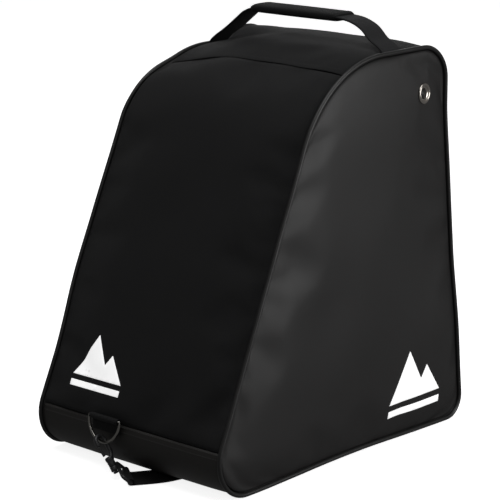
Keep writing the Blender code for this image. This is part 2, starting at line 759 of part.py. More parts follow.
def webbing_loop(name, centre, bar, tail_direction, side_direction, width, inner, ply, tail, material):
    """Webbing folded round a bar, with both plies running off one side of it."""
    bar = Vector(bar).normalized()
    down = -Vector(tail_direction).normalized()
    basis = Matrix((Vector(side_direction).normalized(), down, bar)).transposed()
    if basis.determinant() < 0:
        basis = Matrix((Vector(side_direction).normalized(), down, -bar)).transposed()
    matrix = Matrix.Translation(centre) @ basis.to_4x4()
    return plate(name, loop_section(inner, ply, tail), width, material, matrix)


def d_ring_point(bar_centre, out, angle):
    """A point on the ring's bow, which hangs from the bar and leans off the wall."""
    drop = RING_DROP * math.sin(angle)
    return bar_centre + Vector((RING_HALF_WIDTH * math.cos(angle), out * drop * math.sin(RING_TILT),
                                -drop * math.cos(RING_TILT)))


def hook_directions(out):
    """The hook's long axis, its width direction and its thickness direction."""
    long_axis = Vector((-out * math.sin(HOOK_TILT), 0, -math.cos(HOOK_TILT)))
    width = Vector((0, -out, 0))
    return long_axis, width, long_axis.cross(width)


def make_clip(word, bar_centre, out, loop_bar, loop_shift, strap_heading):
    """Tab, D-ring, snap hook, gate and swivel loop. out is -1 at the front and +1 at the rear."""
    bar_centre = Vector(bar_centre)
    ring_inner = RING_WIRE_RADIUS + GAP
    webbing_loop(word + "_tab", bar_centre, (1, 0, 0), (0, 0, -1), (0, -out, 0), TAB_WIDTH, ring_inner,
                 WEB_PLY, TAB_TAIL, WEBBING)
    bow = [d_ring_point(bar_centre, out, math.pi * i / 24) for i in range(25)]
    tube(word + "_d_ring", bow, RING_WIRE_RADIUS, NICKEL, closed=True)

    long_axis, width, _ = hook_directions(out)
    seat = d_ring_point(bar_centre, out, math.pi / 2) - width * HOOK_FORWARD

    def at(w, l):
        return seat + width * w + long_axis * l

    r = HOOK_CROWN_RADIUS
    crown = [at(-r, 0.0045), at(-r, -0.001)]
    crown += [at(-r * math.cos(math.pi * i / 10), -0.001 - r * math.sin(math.pi * i / 10))
              for i in range(1, 10)]
    crown += [at(r, -0.001), at(r, 0.012), at(r * 0.55, HOOK_BODY_START), at(0.0012, HOOK_BODY_START + 0.004)]
    hook = tube(word + "_snap_hook", crown, HOOK_WIRE_RADIUS, PLASTIC, sides=2)
    body = cylinder_between(word + "_hook_body", at(0, HOOK_BODY_START), at(0, HOOK_BODY_END),
                            HOOK_BODY_RADIUS, PLASTIC, 16, HOOK_BODY_RADIUS * 0.75)
    hook = combine(hook, body)
    stem = cylinder_between(word + "_hook_stem", at(0, HOOK_BODY_END - 0.001), at(0, HOOK_STEM_END - 0.001),
                            HOOK_STEM_RADIUS, PLASTIC, 12)
    hook = combine(hook, stem)
    head = cylinder_between(word + "_hook_head", at(0, HOOK_STEM_END - 0.0017), at(0, HOOK_STEM_END),
                            HOOK_STEM_RADIUS * 1.7, PLASTIC, 12)
    combine(hook, head)

    gate = [at(-r, 0.0045 + 2 * GAP + GATE_RADIUS), at(-HOOK_BODY_RADIUS, HOOK_BODY_START - 2 * GAP
                                                      - GATE_RADIUS)]
    tube(word + "_hook_gate", gate, GATE_RADIUS, PLASTIC, sides=2)

    barrel_middle = at(0, HOOK_BODY_END + GAP + BARREL_LENGTH / 2)
    turn = long_axis.to_track_quat("Z", "Y").to_matrix().to_4x4()
    inner = HOOK_STEM_RADIUS + GAP
    half = BARREL_LENGTH / 2
    ring = [(inner, half), (inner, -half), (BARREL_OUTER_RADIUS, -half), (BARREL_OUTER_RADIUS, half)]
    barrel = turned(word + "_swivel_loop", ring, PLASTIC, Matrix.Translation(barrel_middle) @ turn, 20)
    bar = Vector((*loop_bar, 0)).normalized()
    heading = Vector((*strap_heading, 0)).normalized()
    near = barrel_middle + heading * (BARREL_OUTER_RADIUS + 0.0006)
    far_z = STRAP_FLOOR_GAP + STRAP_THICKNESS + GAP + LOOP_WIRE_RADIUS
    far = near + heading * 0.0085 + bar * loop_shift
    far.z = far_z
    corners = [near - bar * (LOOP_HALF_WIDTH - loop_shift), near + bar * (LOOP_HALF_WIDTH + loop_shift),
               far + bar * LOOP_HALF_WIDTH, far - bar * LOOP_HALF_WIDTH]
    combine(barrel, tube(word + "_loop_wire", corners, LOOP_WIRE_RADIUS, PLASTIC, closed=True))

    webbing_loop(word + "_strap_end", far, bar, heading, (0, 0, -1), STRAP_WIDTH,
                 LOOP_WIRE_RADIUS + GAP, STRAP_THICKNESS, STRAP_END_TAIL, WEBBING)
    return far + heading * (STRAP_END_TAIL + STRAP_JOIN_GAP)


BAR_RISE = RING_BAR_Z - SEAM_LIFT
FRONT_BAR = (FRONT_TAB_X, FRONT_CORNER_Y + BAR_RISE * math.tan(FRONT_LEAN) - 0.0094, RING_BAR_Z)
REAR_BAR = (REAR_TAB_X, FRONT_CORNER_Y + DEPTH - BAR_RISE * math.tan(REAR_LEAN) + 0.0059, RING_BAR_Z)
# the strap's route, told from the bars it hangs from
STRAP_FRONT = [(FRONT_BAR[0] + x, FRONT_BAR[1] + y)
               for x, y in ((0.0465, 0.0300), (0.0512, 0.0500), (0.0570, 0.0800))]
STRAP_REAR = [(REAR_BAR[0] + x, REAR_BAR[1] + y) for x, y in ((-0.0250, -0.0610), (-0.0190, -0.0410))]


def strap_ribbon(name, route, bottom, thickness, end_gap=0.0):
    """Flat webbing along a floor route of (x, y) points."""
    first, last = Vector(route[0]), Vector(route[-1])
    run = (last - first).normalized()
    route = [first + run * end_gap, *[Vector(p) for p in route[1:-1]], last - run * end_gap]

    def where(u, v):
        index = round(v * (len(route) - 1))
        here = Vector(route[index])
        before = Vector(route[max(index - 1, 0)])
        after = Vector(route[min(index + 1, len(route) - 1)])
        along = (after - before).normalized()
        side = Vector((along.y, -along.x))
        flat = here + side * STRAP_WIDTH * (u - 0.5)
        return Vector((flat.x, flat.y, bottom + thickness))

    return surface(name, 2, len(route) - 1, where, WEBBING, thickness)


make_panels()
make_base()
for word, side in (("right", 1), ("left", -1)):
    make_eyelet(word, *make_side("side_panel_" + word, side))
    make_seams(word, side)
make_handle()
make_rear()
for word, side in (("right", 1), ("left", -1)):
    make_zip_slider(word, side)
front_end = make_clip("front", FRONT_BAR, -1, (0.81, -0.59), 0.0040, (0.59, 0.81))
rear_end = make_clip("rear", REAR_BAR, 1, (1.0, 0.0), 0.0, (0.0, -1.0))
fold_ends = [STRAP_FRONT[-1], STRAP_REAR[0]]
strap_ribbon("shoulder_strap_front", [front_end.xy[:]] + STRAP_FRONT, STRAP_FLOOR_GAP, STRAP_THICKNESS)
strap_ribbon("shoulder_strap_fold", fold_ends, STRAP_FLOOR_GAP, FOLD_THICKNESS, FOLD_END_GAP)
strap_ribbon("shoulder_strap_rear", STRAP_REAR + [rear_end.xy[:]], STRAP_FLOOR_GAP, STRAP_THICKNESS)
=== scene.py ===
# %% [markdown]
# # A ski boot bag
# The bag is a wedge of black coated cloth: a leaning front, a flat top, two side panels edged with piping,
# a zipped door in the rear wall, a web handle over the top and a clip-on strap tucked under the base. The
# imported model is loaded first. It fixes every size, and each soft piece below is drawn again over it.

# %% Load the fixed frame
import json
import math

import bmesh
import bpy
from mathutils import Matrix, Vector, noise
from mathutils.bvhtree import BVHTree
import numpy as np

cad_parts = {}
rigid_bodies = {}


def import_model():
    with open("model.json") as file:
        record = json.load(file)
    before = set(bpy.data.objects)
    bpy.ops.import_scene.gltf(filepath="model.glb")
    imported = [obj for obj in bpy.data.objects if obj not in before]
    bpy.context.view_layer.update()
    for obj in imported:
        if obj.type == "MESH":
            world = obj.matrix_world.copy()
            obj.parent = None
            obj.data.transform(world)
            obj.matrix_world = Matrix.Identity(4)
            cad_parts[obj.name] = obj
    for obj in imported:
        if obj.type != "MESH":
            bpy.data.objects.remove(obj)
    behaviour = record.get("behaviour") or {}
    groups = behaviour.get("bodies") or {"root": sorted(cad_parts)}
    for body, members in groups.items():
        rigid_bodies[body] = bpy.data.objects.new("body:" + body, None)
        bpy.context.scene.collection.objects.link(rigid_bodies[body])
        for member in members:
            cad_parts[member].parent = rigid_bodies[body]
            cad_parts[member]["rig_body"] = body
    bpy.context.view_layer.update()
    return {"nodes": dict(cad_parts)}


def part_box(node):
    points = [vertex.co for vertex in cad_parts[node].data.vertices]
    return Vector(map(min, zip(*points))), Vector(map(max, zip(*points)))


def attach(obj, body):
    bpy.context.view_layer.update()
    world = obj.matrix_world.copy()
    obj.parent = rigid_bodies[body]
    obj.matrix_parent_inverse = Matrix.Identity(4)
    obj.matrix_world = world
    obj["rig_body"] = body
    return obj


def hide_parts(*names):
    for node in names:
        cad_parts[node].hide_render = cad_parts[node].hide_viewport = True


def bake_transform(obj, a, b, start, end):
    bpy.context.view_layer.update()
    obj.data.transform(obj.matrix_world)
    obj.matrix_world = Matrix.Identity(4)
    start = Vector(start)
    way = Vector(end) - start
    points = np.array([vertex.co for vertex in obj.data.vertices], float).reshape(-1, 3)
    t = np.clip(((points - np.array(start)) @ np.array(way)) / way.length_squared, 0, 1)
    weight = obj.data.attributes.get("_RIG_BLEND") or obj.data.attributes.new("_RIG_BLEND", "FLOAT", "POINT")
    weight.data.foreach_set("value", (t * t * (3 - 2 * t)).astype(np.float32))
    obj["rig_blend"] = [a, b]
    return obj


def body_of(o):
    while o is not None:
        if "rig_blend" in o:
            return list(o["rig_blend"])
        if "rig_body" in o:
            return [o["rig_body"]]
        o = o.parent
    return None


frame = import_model()

# %% [markdown]
# ## The camera and the studio
# A long lens from the front right, a little above the bag, keeps its upright edges nearly parallel. The
# floor and the surroundings are white, so the black cloth is drawn almost wholly by soft reflections: one
# broad light over the top, one at the right for the side panel's shiny edge, a small card that puts a glint
# on the metal and a weak fill from behind. The floor glows by itself and is hidden from the bag, so it
# stays white and adds no light to the cloth.

# %% Camera
CAMERA_AZIMUTH = math.radians(42.178)
CAMERA_ELEVATION = math.radians(13.824)
CAMERA_ROLL = math.radians(-0.14)
CAMERA_PLACE = (1.4706, -1.6263, 0.7380)
LENS = 158.3


def add_camera():
    view = bpy.data.cameras.new("studio_camera")
    view.lens = LENS
    view.sensor_width = 36
    view.clip_end = 30
    camera = bpy.data.objects.new("studio_camera", view)
    turn = (Matrix.Rotation(CAMERA_AZIMUTH, 4, "Z") @ Matrix.Rotation(math.pi / 2 - CAMERA_ELEVATION, 4, "X")
            @ Matrix.Rotation(CAMERA_ROLL, 4, "Z"))
    camera.matrix_world = Matrix.Translation(CAMERA_PLACE) @ turn
    bpy.context.collection.objects.link(camera)
    bpy.context.scene.camera = camera


add_camera()


# %% [markdown]
# Dark cloth shows only what it reflects, so the lamps are large and soft and their powers are low. Four of
# them are enough, and a plain floor needs no backdrop.

# %% Floor, surroundings and lights
def add_area(name, place, aim, size, power):
    lamp = bpy.data.lights.new(name, "AREA")
    lamp.shape = "RECTANGLE"
    lamp.size, lamp.size_y = size
    lamp.energy = power
    obj = bpy.data.objects.new(name, lamp)
    obj.location = place
    obj.rotation_euler = (Vector(aim) - Vector(place)).to_track_quat("-Z", "Y").to_euler()
    bpy.context.collection.objects.link(obj)


def add_studio():
    scene = bpy.context.scene
    scene.view_settings.view_transform = "Standard"
    world = bpy.data.worlds.new("studio")
    scene.world = world
    world.use_nodes = True
    world.node_tree.nodes["Background"].inputs["Color"].default_value = (1, 1, 1, 1)
    world.node_tree.nodes["Background"].inputs["Strength"].default_value = 0.13
    bpy.ops.mesh.primitive_plane_add(size=16, location=(0, 0, 0))
    floor = bpy.context.object
    floor.name = "floor"
    paper = bpy.data.materials.new("white_paper")
    paper.use_nodes = True
    shader = paper.node_tree.nodes["Principled BSDF"]
    shader.inputs["Base Color"].default_value = (0.93, 0.93, 0.93, 1)
    shader.inputs["Roughness"].default_value = 0.9
    shader.inputs["Specular IOR Level"].default_value = 0.0
    shader.inputs["Emission Color"].default_value = (1, 1, 1, 1)
    shader.inputs["Emission Strength"].default_value = 0.86
    floor.data.materials.append(paper)
    floor.visible_diffuse = False
    floor.visible_glossy = False
    add_area("top_softbox", (0.1, -0.25, 2.0), (0, 0.0, 0.3), (1.7, 1.7), 17)
    add_area("right_softbox", (1.9, 0.6, 0.7), (0.1, 0.05, 0.15), (1.0, 1.3), 19)
    add_area("glint_card", (0.9, -1.9, 1.5), (0, 0, 0.2), (0.25, 0.5), 2.2)
    add_area("rear_fill", (-1.6, 1.9, 1.1), (0, 0.1, 0.2), (1.2, 1.4), 5)


add_studio()

# %% [markdown]
# ## Formulas for finishes
# A cloth's weave or a webbing's ribs are simple formulas of the place on the cloth. Writing them as
# ordinary sums is easier to read than a chain of nodes, so a small class wraps a number socket and turns
# each operator into a Math node.


# %% Numbers that can be added and multiplied
class Field:
    """A number that varies over a surface, usable in an ordinary formula."""

    def __init__(self, finish, socket):
        self.finish = finish
        self.socket = socket

    def combine(self, operation, *values):
        node = self.finish.node("ShaderNodeMath", {"operation": operation}, dict(enumerate(values)))
        return Field(self.finish, node.outputs[0])

    def __add__(self, other):
        return self.combine("ADD", self, other)

    __radd__ = __add__

    def __sub__(self, other):
        return self.combine("SUBTRACT", self, other)

    def __rsub__(self, other):
        return self.combine("SUBTRACT", other, self)

    def __mul__(self, other):
        return self.combine("MULTIPLY", self, other)

    __rmul__ = __mul__

    def sine(self):
        return self.combine("SINE", self)

    def size(self):
        return self.combine("ABSOLUTE", self)

    def above(self, level):
        return self.combine("GREATER_THAN", self, level)


class Finish:
    """One material, with its shader and a single way to add nodes."""

    def __init__(self, name, roughness, metallic=0.0, specular=0.5, sheen=0.0):
        self.material = bpy.data.materials.new(name)
        self.material.use_nodes = True
        self.tree = self.material.node_tree
        self.shader = self.tree.nodes["Principled BSDF"]
        self.shader.inputs["Roughness"].default_value = roughness
        self.shader.inputs["Metallic"].default_value = metallic
        self.shader.inputs["Specular IOR Level"].default_value = specular
        self.shader.inputs["Sheen Weight"].default_value = sheen
        self.shader.inputs["Sheen Roughness"].default_value = 0.4

    def node(self, kind, settings=None, inputs=None):
        made = self.tree.nodes.new(kind)
        for label, value in (settings or {}).items():
            setattr(made, label, value)
        for label, value in (inputs or {}).items():
            self.feed(made.inputs[label], value)
        return made

    def feed(self, socket, value):
        if isinstance(value, Field):
            self.tree.links.new(value.socket, socket)
        elif isinstance(value, bpy.types.NodeSocket):
            self.tree.links.new(value, socket)
        else:
            socket.default_value = value

    def cloth_place(self):
        """Distances in metres along and across the piece's own cloth."""
        split = self.node("ShaderNodeSeparateXYZ", inputs={0: self.node("ShaderNodeUVMap",
                                                                        {"uv_map": "cloth"}).outputs[0]})
        return Field(self, split.outputs[0]), Field(self, split.outputs[1])

    def body_place(self):
        return self.node("ShaderNodeTexCoord").outputs["Object"]

    def cloud(self, scale, detail=3.0, roughness=0.55, where=None):
        made = self.node("ShaderNodeTexNoise", {"noise_dimensions": "3D"},
                         {"Vector": where or self.body_place(), "Scale": scale, "Detail": detail,
                          "Roughness": roughness})
        return Field(self, made.outputs[0])

    def shade(self, dark, light, amount):
        """Base colour between two tones."""
        mix = self.node("ShaderNodeMix", {"data_type": "RGBA"},
                        {0: amount, 6: (*dark, 1), 7: (*light, 1)})
        self.feed(self.shader.inputs["Base Color"], mix.outputs[2])

    def relief(self, height, depth):
        """Bump of a height field whose unit is depth, in metres."""
        bump = self.node("ShaderNodeBump", inputs={"Strength": 1.0, "Distance": depth, "Height": height})
        self.feed(self.shader.inputs["Normal"], bump.outputs[0])

    def rough(self, value):
        self.feed(self.shader.inputs["Roughness"], value)


# %% [markdown]
# ## The finishes
# The front and top are woven polyester: dull, with a fine plain weave. The sides and bands are the same
# cloth with a smooth coating, so they are shinier and the weave hardly shows. Webbing has ribs along its
# edges and across its face. The rest is moulded plastic, nickel plate, zip tape and a printed mark.

# %% Woven and coated cloth
THREAD = 0.00062          # one warp or weft thread
GRAIN_SCALE = 900.0


def weave(finish, pitch):
    """Height of a plain weave: warp on top in one square, weft in the next."""
    along, across = finish.cloth_place()
    warp = (along * (math.pi / pitch)).sine()
    weft = (across * (math.pi / pitch)).sine()
    over = (warp * weft).above(0.0)
    return warp.size() * over + weft.size() * (1 - over)


def woven_cloth(name, dark, light, roughness, depth):
    finish = Finish(name, roughness, specular=0.22, sheen=0.04)
    height = weave(finish, THREAD)
    patches = finish.cloud(14.0, 4.0)
    slubs = finish.cloud(420.0, 2.0)
    finish.shade(dark, light, height * 0.45 + patches * 0.35 + slubs * 0.2)
    finish.rough(roughness - 0.10 + patches * 0.2)
    finish.relief(height + slubs * 0.6, depth)
    return finish.material


def coated_cloth(name, dark, light, roughness, specular):
    finish = Finish(name, roughness, specular=specular)
    height = weave(finish, THREAD)
    grain = finish.cloud(GRAIN_SCALE, 2.0)
    patches = finish.cloud(9.0, 4.0)
    finish.shade(dark, light, patches * 0.7 + grain * 0.3)
    finish.rough(roughness - 0.08 + patches * 0.12 + grain * 0.06)
    finish.relief(height * 0.35 + grain * 0.5 + finish.cloud(60.0, 2.0) * 1.5, 0.00010)
    return finish.material


POLYESTER = woven_cloth("woven_polyester", (0.0045, 0.0045, 0.0048), (0.0115, 0.0115, 0.0120), 0.72, 0.00016)
# The grip's cloth is the same polyester in darker tones: painted shade that holds down the top light on the
# padded grip.
GRIP_CLOTH_PAINTED_SHADE = woven_cloth("grip_polyester", (0.0020, 0.0020, 0.0022), (0.0052, 0.0052, 0.0055), 0.80, 0.00016)
COATED = coated_cloth("coated_side_cloth", (0.0105, 0.0100, 0.0100), (0.0170, 0.0162, 0.0160), 0.46, 0.42)
BAND_CLOTH = coated_cloth("coated_band_cloth", (0.0115, 0.0105, 0.0092), (0.0170, 0.0155, 0.0138), 0.50, 0.42)


# %% [markdown]
# Webbing is woven in thick slanting ribs. It could be a picture of ribs, but a sine of the distance along
# the web keeps the ribs at one pitch on every strap and tape. Its relief does most of the work.

# %% Webbing and binding tape
RIB = 0.0017              # one rib across the webbing's face


def webbing(name, rib, tone):
    finish = Finish(name, 0.70, specular=0.25, sheen=0.03)
    along, across = finish.cloth_place()
    slant = (along * (2 * math.pi / rib) + (across * (2 * math.pi / (rib * 1.6))).sine() * 0.9).sine()
    threads = (across * (2 * math.pi / (rib * 0.45))).sine()
    height = slant * 0.6 + threads * 0.3
    finish.shade([c * 0.4 for c in tone], tone, height * 0.4 + 0.5)
    finish.relief(height, 0.00022)
    return finish.material


WEBBING = webbing("ribbed_webbing", RIB, (0.012, 0.012, 0.013))
STRAP_WEB = webbing("strap_webbing", 0.0013, (0.0050, 0.0050, 0.0056))
TAPE = webbing("zip_tape_cloth", 0.0009, (0.010, 0.010, 0.010))
LINING = webbing("binding_tape", 0.0010, (0.030, 0.030, 0.032))


# %% [markdown]
# The hooks are moulded plastic, the rings and eyelets are plated metal, and the mark is opaque ink. Each is
# a plain tone with slow patches of wear or smears. The ink gives off light of its own, so that it stays
# white in the bag's own shade.

# %% Moulded, plated and printed finishes
def moulded(name, tone, roughness, grain_depth):
    finish = Finish(name, roughness)
    grain = finish.cloud(700.0, 2.0)
    wear = finish.cloud(45.0, 3.0)
    finish.shade([c * 0.7 for c in tone], [c * 1.4 for c in tone], wear)
    finish.rough(roughness - 0.08 + wear * 0.16)
    finish.relief(grain, grain_depth)
    return finish.material


def plated(name, tone, roughness):
    finish = Finish(name, roughness, metallic=1.0)
    smears = finish.cloud(130.0, 3.0)
    finish.shade([c * 0.82 for c in tone], tone, smears)
    finish.rough(roughness - 0.06 + smears * 0.14)
    finish.relief(finish.cloud(500.0, 2.0), 0.00002)
    return finish.material


PLASTIC = moulded("hook_plastic", (0.020, 0.020, 0.021), 0.36, 0.00003)
PIPING_SKIN = moulded("piping_skin", (0.0085, 0.0083, 0.0082), 0.40, 0.00002)
BOARD = moulded("stiff_board", (0.045, 0.045, 0.047), 0.60, 0.00003)
NICKEL = plated("nickel_plate", (0.62, 0.58, 0.53), 0.18)
GUNMETAL = plated("gunmetal_plate", (0.30, 0.29, 0.27), 0.20)
ZIP_METAL = plated("black_nickel", (0.075, 0.075, 0.078), 0.30)
PRINT = moulded("white_print", (0.85, 0.85, 0.85), 0.55, 0.00002)
print_shader = PRINT.node_tree.nodes["Principled BSDF"]
print_shader.inputs["Emission Color"].default_value = (1, 1, 1, 1)
print_shader.inputs["Emission Strength"].default_value = 0.62
THREAD_FINISH = moulded("sewing_thread", (0.034, 0.033, 0.032), 0.50, 0.00002)
print("finishes made:", len(bpy.data.materials))

# %% [markdown]
# ## The side outline
# Everything follows the outline of the side panel: a lopsided four-cornered shape with rounded corners. It
# is kept as lines and arcs, and a walker gives the point and the outward direction at any distance round
# it.

# %% Driving sizes
DEPTH = 0.3998
HEIGHT = 0.4020
WIDTH_BASE = 0.2500
WIDTH_TOP = 0.2400
FRONT_LEAN = math.radians(24.3)
REAR_LEAN = math.radians(4.7)
CORNER_RADII = (0.038, 0.130, 0.038, 0.022)   # front bottom, front top, rear top, rear bottom
SEAM_LIFT = 0.0035
FRONT_CORNER_Y = -0.2052
BASE_ARCH = 0.0030
PIPING_RADIUS = 0.0023
EDGE = 0.0026
WALL = 0.0020


# %% [markdown]
# A seam is laid out by distance along the cloth, as a tape measure would. The walker turns such a distance
# into a place, and find turns a height or a depth back into a distance.

# %% Walk round the outline
def rounded_corner(corner, before, after, radius):
    back = (before - corner).normalized()
    ahead = (after - corner).normalized()
    half = back.angle(ahead) / 2
    reach = radius / math.tan(half)
    centre = corner + (back + ahead).normalized() * (radius / math.sin(half))
    start = corner + back * reach - centre
    end = corner + ahead * reach - centre
    begin = math.atan2(start.y, start.x)
    turn = (math.atan2(end.y, end.x) - begin + math.pi) % (2 * math.pi) - math.pi
    return centre, radius, begin, turn


def side_outline():
    front = Vector((FRONT_CORNER_Y, 0.0))
    rear = Vector((FRONT_CORNER_Y + DEPTH, 0.0))
    corners = [front, Vector((front.x + HEIGHT * math.tan(FRONT_LEAN), HEIGHT)),
               Vector((rear.x - HEIGHT * math.tan(REAR_LEAN), HEIGHT)), rear]
    middle = (front + rear) / 2
    points = [middle] + corners + [middle]
    pieces = []
    here = middle
    for i, (corner, radius) in enumerate(zip(corners, CORNER_RADII), start=1):
        centre, radius, begin, turn = rounded_corner(corner, points[i - 1], points[i + 1], radius)
        entry = centre + Vector((math.cos(begin), math.sin(begin))) * radius
        pieces.append(("line", here, entry, (entry - here).length))
        pieces.append(("arc", centre, radius, begin, turn, radius * abs(turn)))
        here = centre + Vector((math.cos(begin + turn), math.sin(begin + turn))) * radius
    pieces.append(("line", here, middle, (middle - here).length))
    return pieces


OUTLINE = side_outline()
STARTS = [sum(p[-1] for p in OUTLINE[:i]) for i in range(len(OUTLINE) + 1)]
AROUND = STARTS[-1]


def walk(distance):
    distance = distance % AROUND
    index = max(i for i in range(len(OUTLINE)) if STARTS[i] <= distance)
    piece = OUTLINE[index]
    share = (distance - STARTS[index]) / piece[-1]
    if piece[0] == "line":
        along = (piece[2] - piece[1]).normalized()
        return piece[1].lerp(piece[2], share), Vector((-along.y, along.x))
    angle = piece[3] + piece[4] * share
    outward = Vector((math.cos(angle), math.sin(angle)))
    return piece[1] + outward * piece[2], outward


def find(test, low, high):
    for _ in range(40):
        middle = (low + high) / 2
        low, high = (low, middle) if test(walk(middle)[0]) else (middle, high)
    return high


def half_width(z):
    share = min(max(z / HEIGHT, 0), 1)
    return (WIDTH_BASE + (WIDTH_TOP - WIDTH_BASE) * share) / 2


def arch_lift(y, z):
    front = walk(STARTS[1])[0].x
    share = (y - front) / (walk(STARTS[8])[0].x - front)
    if z > CORNER_RADII[3] or not 0 < share < 1:
        return 0.0
    return BASE_ARCH * math.sin(math.pi * share) ** 2 * (1 - z / CORNER_RADII[3])


BAND_TOP_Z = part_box("lower_front_band")[1][2] - 0.0002
TOP_SEAM_Y = 0.0035
TOP_END_Z = 0.3540
DOOR_SILL_Z = 0.0700
BAND_END = find(lambda p: p.y > BAND_TOP_Z - SEAM_LIFT, STARTS[1], STARTS[3])
TOP_SEAM = find(lambda p: p.x > TOP_SEAM_Y, STARTS[3], STARTS[5])
TOP_END = find(lambda p: p.y < TOP_END_Z - SEAM_LIFT, STARTS[5], STARTS[7])
DOOR_SILL = find(lambda p: p.y < DOOR_SILL_Z - SEAM_LIFT, STARTS[5], STARTS[8])
print("outline", round(AROUND, 4), "m round; band ends at", round(BAND_END, 4))

# %% [markdown]
# ## Making a sewn panel
# Each panel starts as a grid laid over the outline, swollen a little between its seams and rolled down into
# them, with broad bumps from a noise formula. On the front, the top, the sides and the door a short cloth
# simulation then lets it settle by a few millimetres. The edges are held, as stitching holds them, and air
# pressure stands for the foam. The bands and the base keep their drawn shape. Each result is kept as a
# plain mesh and given its thickness.


# %% Grids with their own cloth coordinates
def add_mesh(name, builder, material):
    mesh = bpy.data.meshes.new(name)
    builder.to_mesh(mesh)
    builder.free()
    mesh.shade_smooth()
    mesh.materials.append(material)
    obj = bpy.data.objects.new(name, mesh)
    bpy.context.collection.objects.link(obj)
    return obj


def cloth_grid(name, across, along, where, material, size):
    """A grid mapped by where(u, v); size is its width and length in metres for the cloth map."""
    builder = bmesh.new()
    bmesh.ops.create_grid(builder, x_segments=across, y_segments=along, size=0.5)
    layer = builder.loops.layers.uv.new("cloth")
    for face in builder.faces:
        for loop in face.loops:
            loop[layer].uv = ((loop.vert.co.x + 0.5) * size[0], (loop.vert.co.y + 0.5) * size[1])
    for vertex in builder.verts:
        vertex.co = where(vertex.co.x + 0.5, vertex.co.y + 0.5)
    return add_mesh(name, builder, material)


SETTLE_FRAMES = 16


def settle(panel, pressure, spare, reach):
    """Cloth simulation with the panel's edges held; no point moves more than reach."""
    mesh = panel.data
    start = [v.co.copy() for v in mesh.vertices]
    edge_use = {}
    for polygon in mesh.polygons:
        for key in polygon.edge_keys:
            edge_use[key] = edge_use.get(key, 0) + 1
    held = sorted({i for key, count in edge_use.items() if count == 1 for i in key})
    group = panel.vertex_groups.new(name="sewn")
    group.add(held, 1.0, "REPLACE")
    cloth = panel.modifiers.new("cloth", "CLOTH")
    cloth.settings.quality = 6
    cloth.settings.mass = 0.3
    cloth.settings.tension_stiffness = 25
    cloth.settings.compression_stiffness = 25
    cloth.settings.shear_stiffness = 8
    cloth.settings.bending_stiffness = 1.5
    cloth.settings.vertex_group_mass = "sewn"
    cloth.settings.shrink_min = -spare
    cloth.settings.use_pressure = True
    cloth.settings.uniform_pressure_force = pressure
    cloth.settings.effector_weights.gravity = 0
    scene = bpy.context.scene
    for step in range(1, SETTLE_FRAMES + 1):
        scene.frame_set(step)
    evaluated = panel.evaluated_get(bpy.context.evaluated_depsgraph_get())
    settled = [v.co.copy() for v in evaluated.data.vertices]
    panel.modifiers.remove(cloth)
    panel.vertex_groups.remove(group)
    scene.frame_set(1)
    moved = 0.0
    for vertex, old, new in zip(mesh.vertices, start, settled):
        step = new - old
        moved = max(moved, step.length)
        vertex.co = old + step * min(1.0, reach / max(step.length, 1e-9))
    print(panel.name, "settled by up to", round(moved * 1000, 1), "mm")


def thicken(panel, thickness=WALL, levels=1):
    if levels:
        fine = panel.modifiers.new("fine", "SUBSURF")
        fine.levels = levels
        fine.render_levels = levels
    wall = panel.modifiers.new("wall", "SOLIDIFY")
    wall.thickness = thickness
    wall.offset = -1
    return panel


def plain(obj, body="root", node=None):
    """Apply modifiers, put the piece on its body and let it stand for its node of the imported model."""
    evaluated = obj.evaluated_get(bpy.context.evaluated_depsgraph_get())
    mesh = bpy.data.meshes.new_from_object(evaluated)
    mesh.transform(obj.matrix_world)
    name = obj.name
    bpy.data.objects.remove(obj, do_unlink=True)
    fresh = bpy.data.objects.new(name, mesh)
    bpy.context.collection.objects.link(fresh)
    if body:
        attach(fresh, body)
    for each in ([node] if isinstance(node, str) else node or []):
        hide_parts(each)
    return fresh


# %% [markdown]
# ## Front, top and bands
# These run round the outline from one side seam to the other. The middle swells, and the last few
# millimetres roll down into the groove beside the piping.

# %% Wrapped panels
ROLL = 0.0070             # width of the roll beside a seam
ROLL_DEPTH = 0.0011


def roll_down(distance, roll=ROLL, depth=ROLL_DEPTH):
    """How far the surface is below its full height at a distance from a seam."""
    share = min(max(distance / roll, 0), 1)
    return -depth * (1 - math.sqrt(1 - (1 - share) ** 2))


def spread(u, crowding=1.7):
    """Crowds grid lines towards both edges."""
    side = 1 if u >= 0.5 else -1
    return 0.5 + side * (1 - (1 - abs(2 * u - 1)) ** crowding) / 2


def soft_bumps(point, size, height, seed):
    return height * noise.noise(Vector(point) / size + Vector((seed, 0, 0)))


def wrapped(start, end, crown, end_rolls=(0.0, 0.0), bumps=0.0, seed=0.0):
    length = end - start

    def where(u, v):
        u = spread(u)
        distance = start + length * v
        flat, normal = walk(distance)
        half = half_width(flat.y) - EDGE
        x = half * (2 * u - 1)
        lift = crown(v) * (1 - abs(2 * u - 1) ** 4) + roll_down(half - abs(x))
        for gap, depth in ((length * v, end_rolls[0]), (length * (1 - v), end_rolls[1])):
            lift += roll_down(gap, 0.005, depth)
        lift += soft_bumps((x, flat.x, flat.y), 0.055, bumps, seed) * min(1, (half - abs(x)) / 0.03)
        place = flat + normal * lift
        return Vector((x, place.x, place.y + arch_lift(flat.x, flat.y) + SEAM_LIFT))

    return where, (WIDTH_BASE, length)


def front_crown(v):
    return 0.0010 + 0.0035 * v + 0.0070 * math.sin(math.pi * v)


def top_crown(v):
    return 0.0045 * (1 - v) + 0.0012 * math.sin(math.pi * v)


panels = {}


def make_wrapped(name, start, end, crown, counts, material, rolls, bumps, seed, settle_by):
    where, size = wrapped(start, end, crown, rolls, bumps, seed)
    panel = cloth_grid(name, *counts, where, material, size)
    if settle_by:
        settle(panel, *settle_by)
    panels[name] = plain(thicken(panel), "root", name)


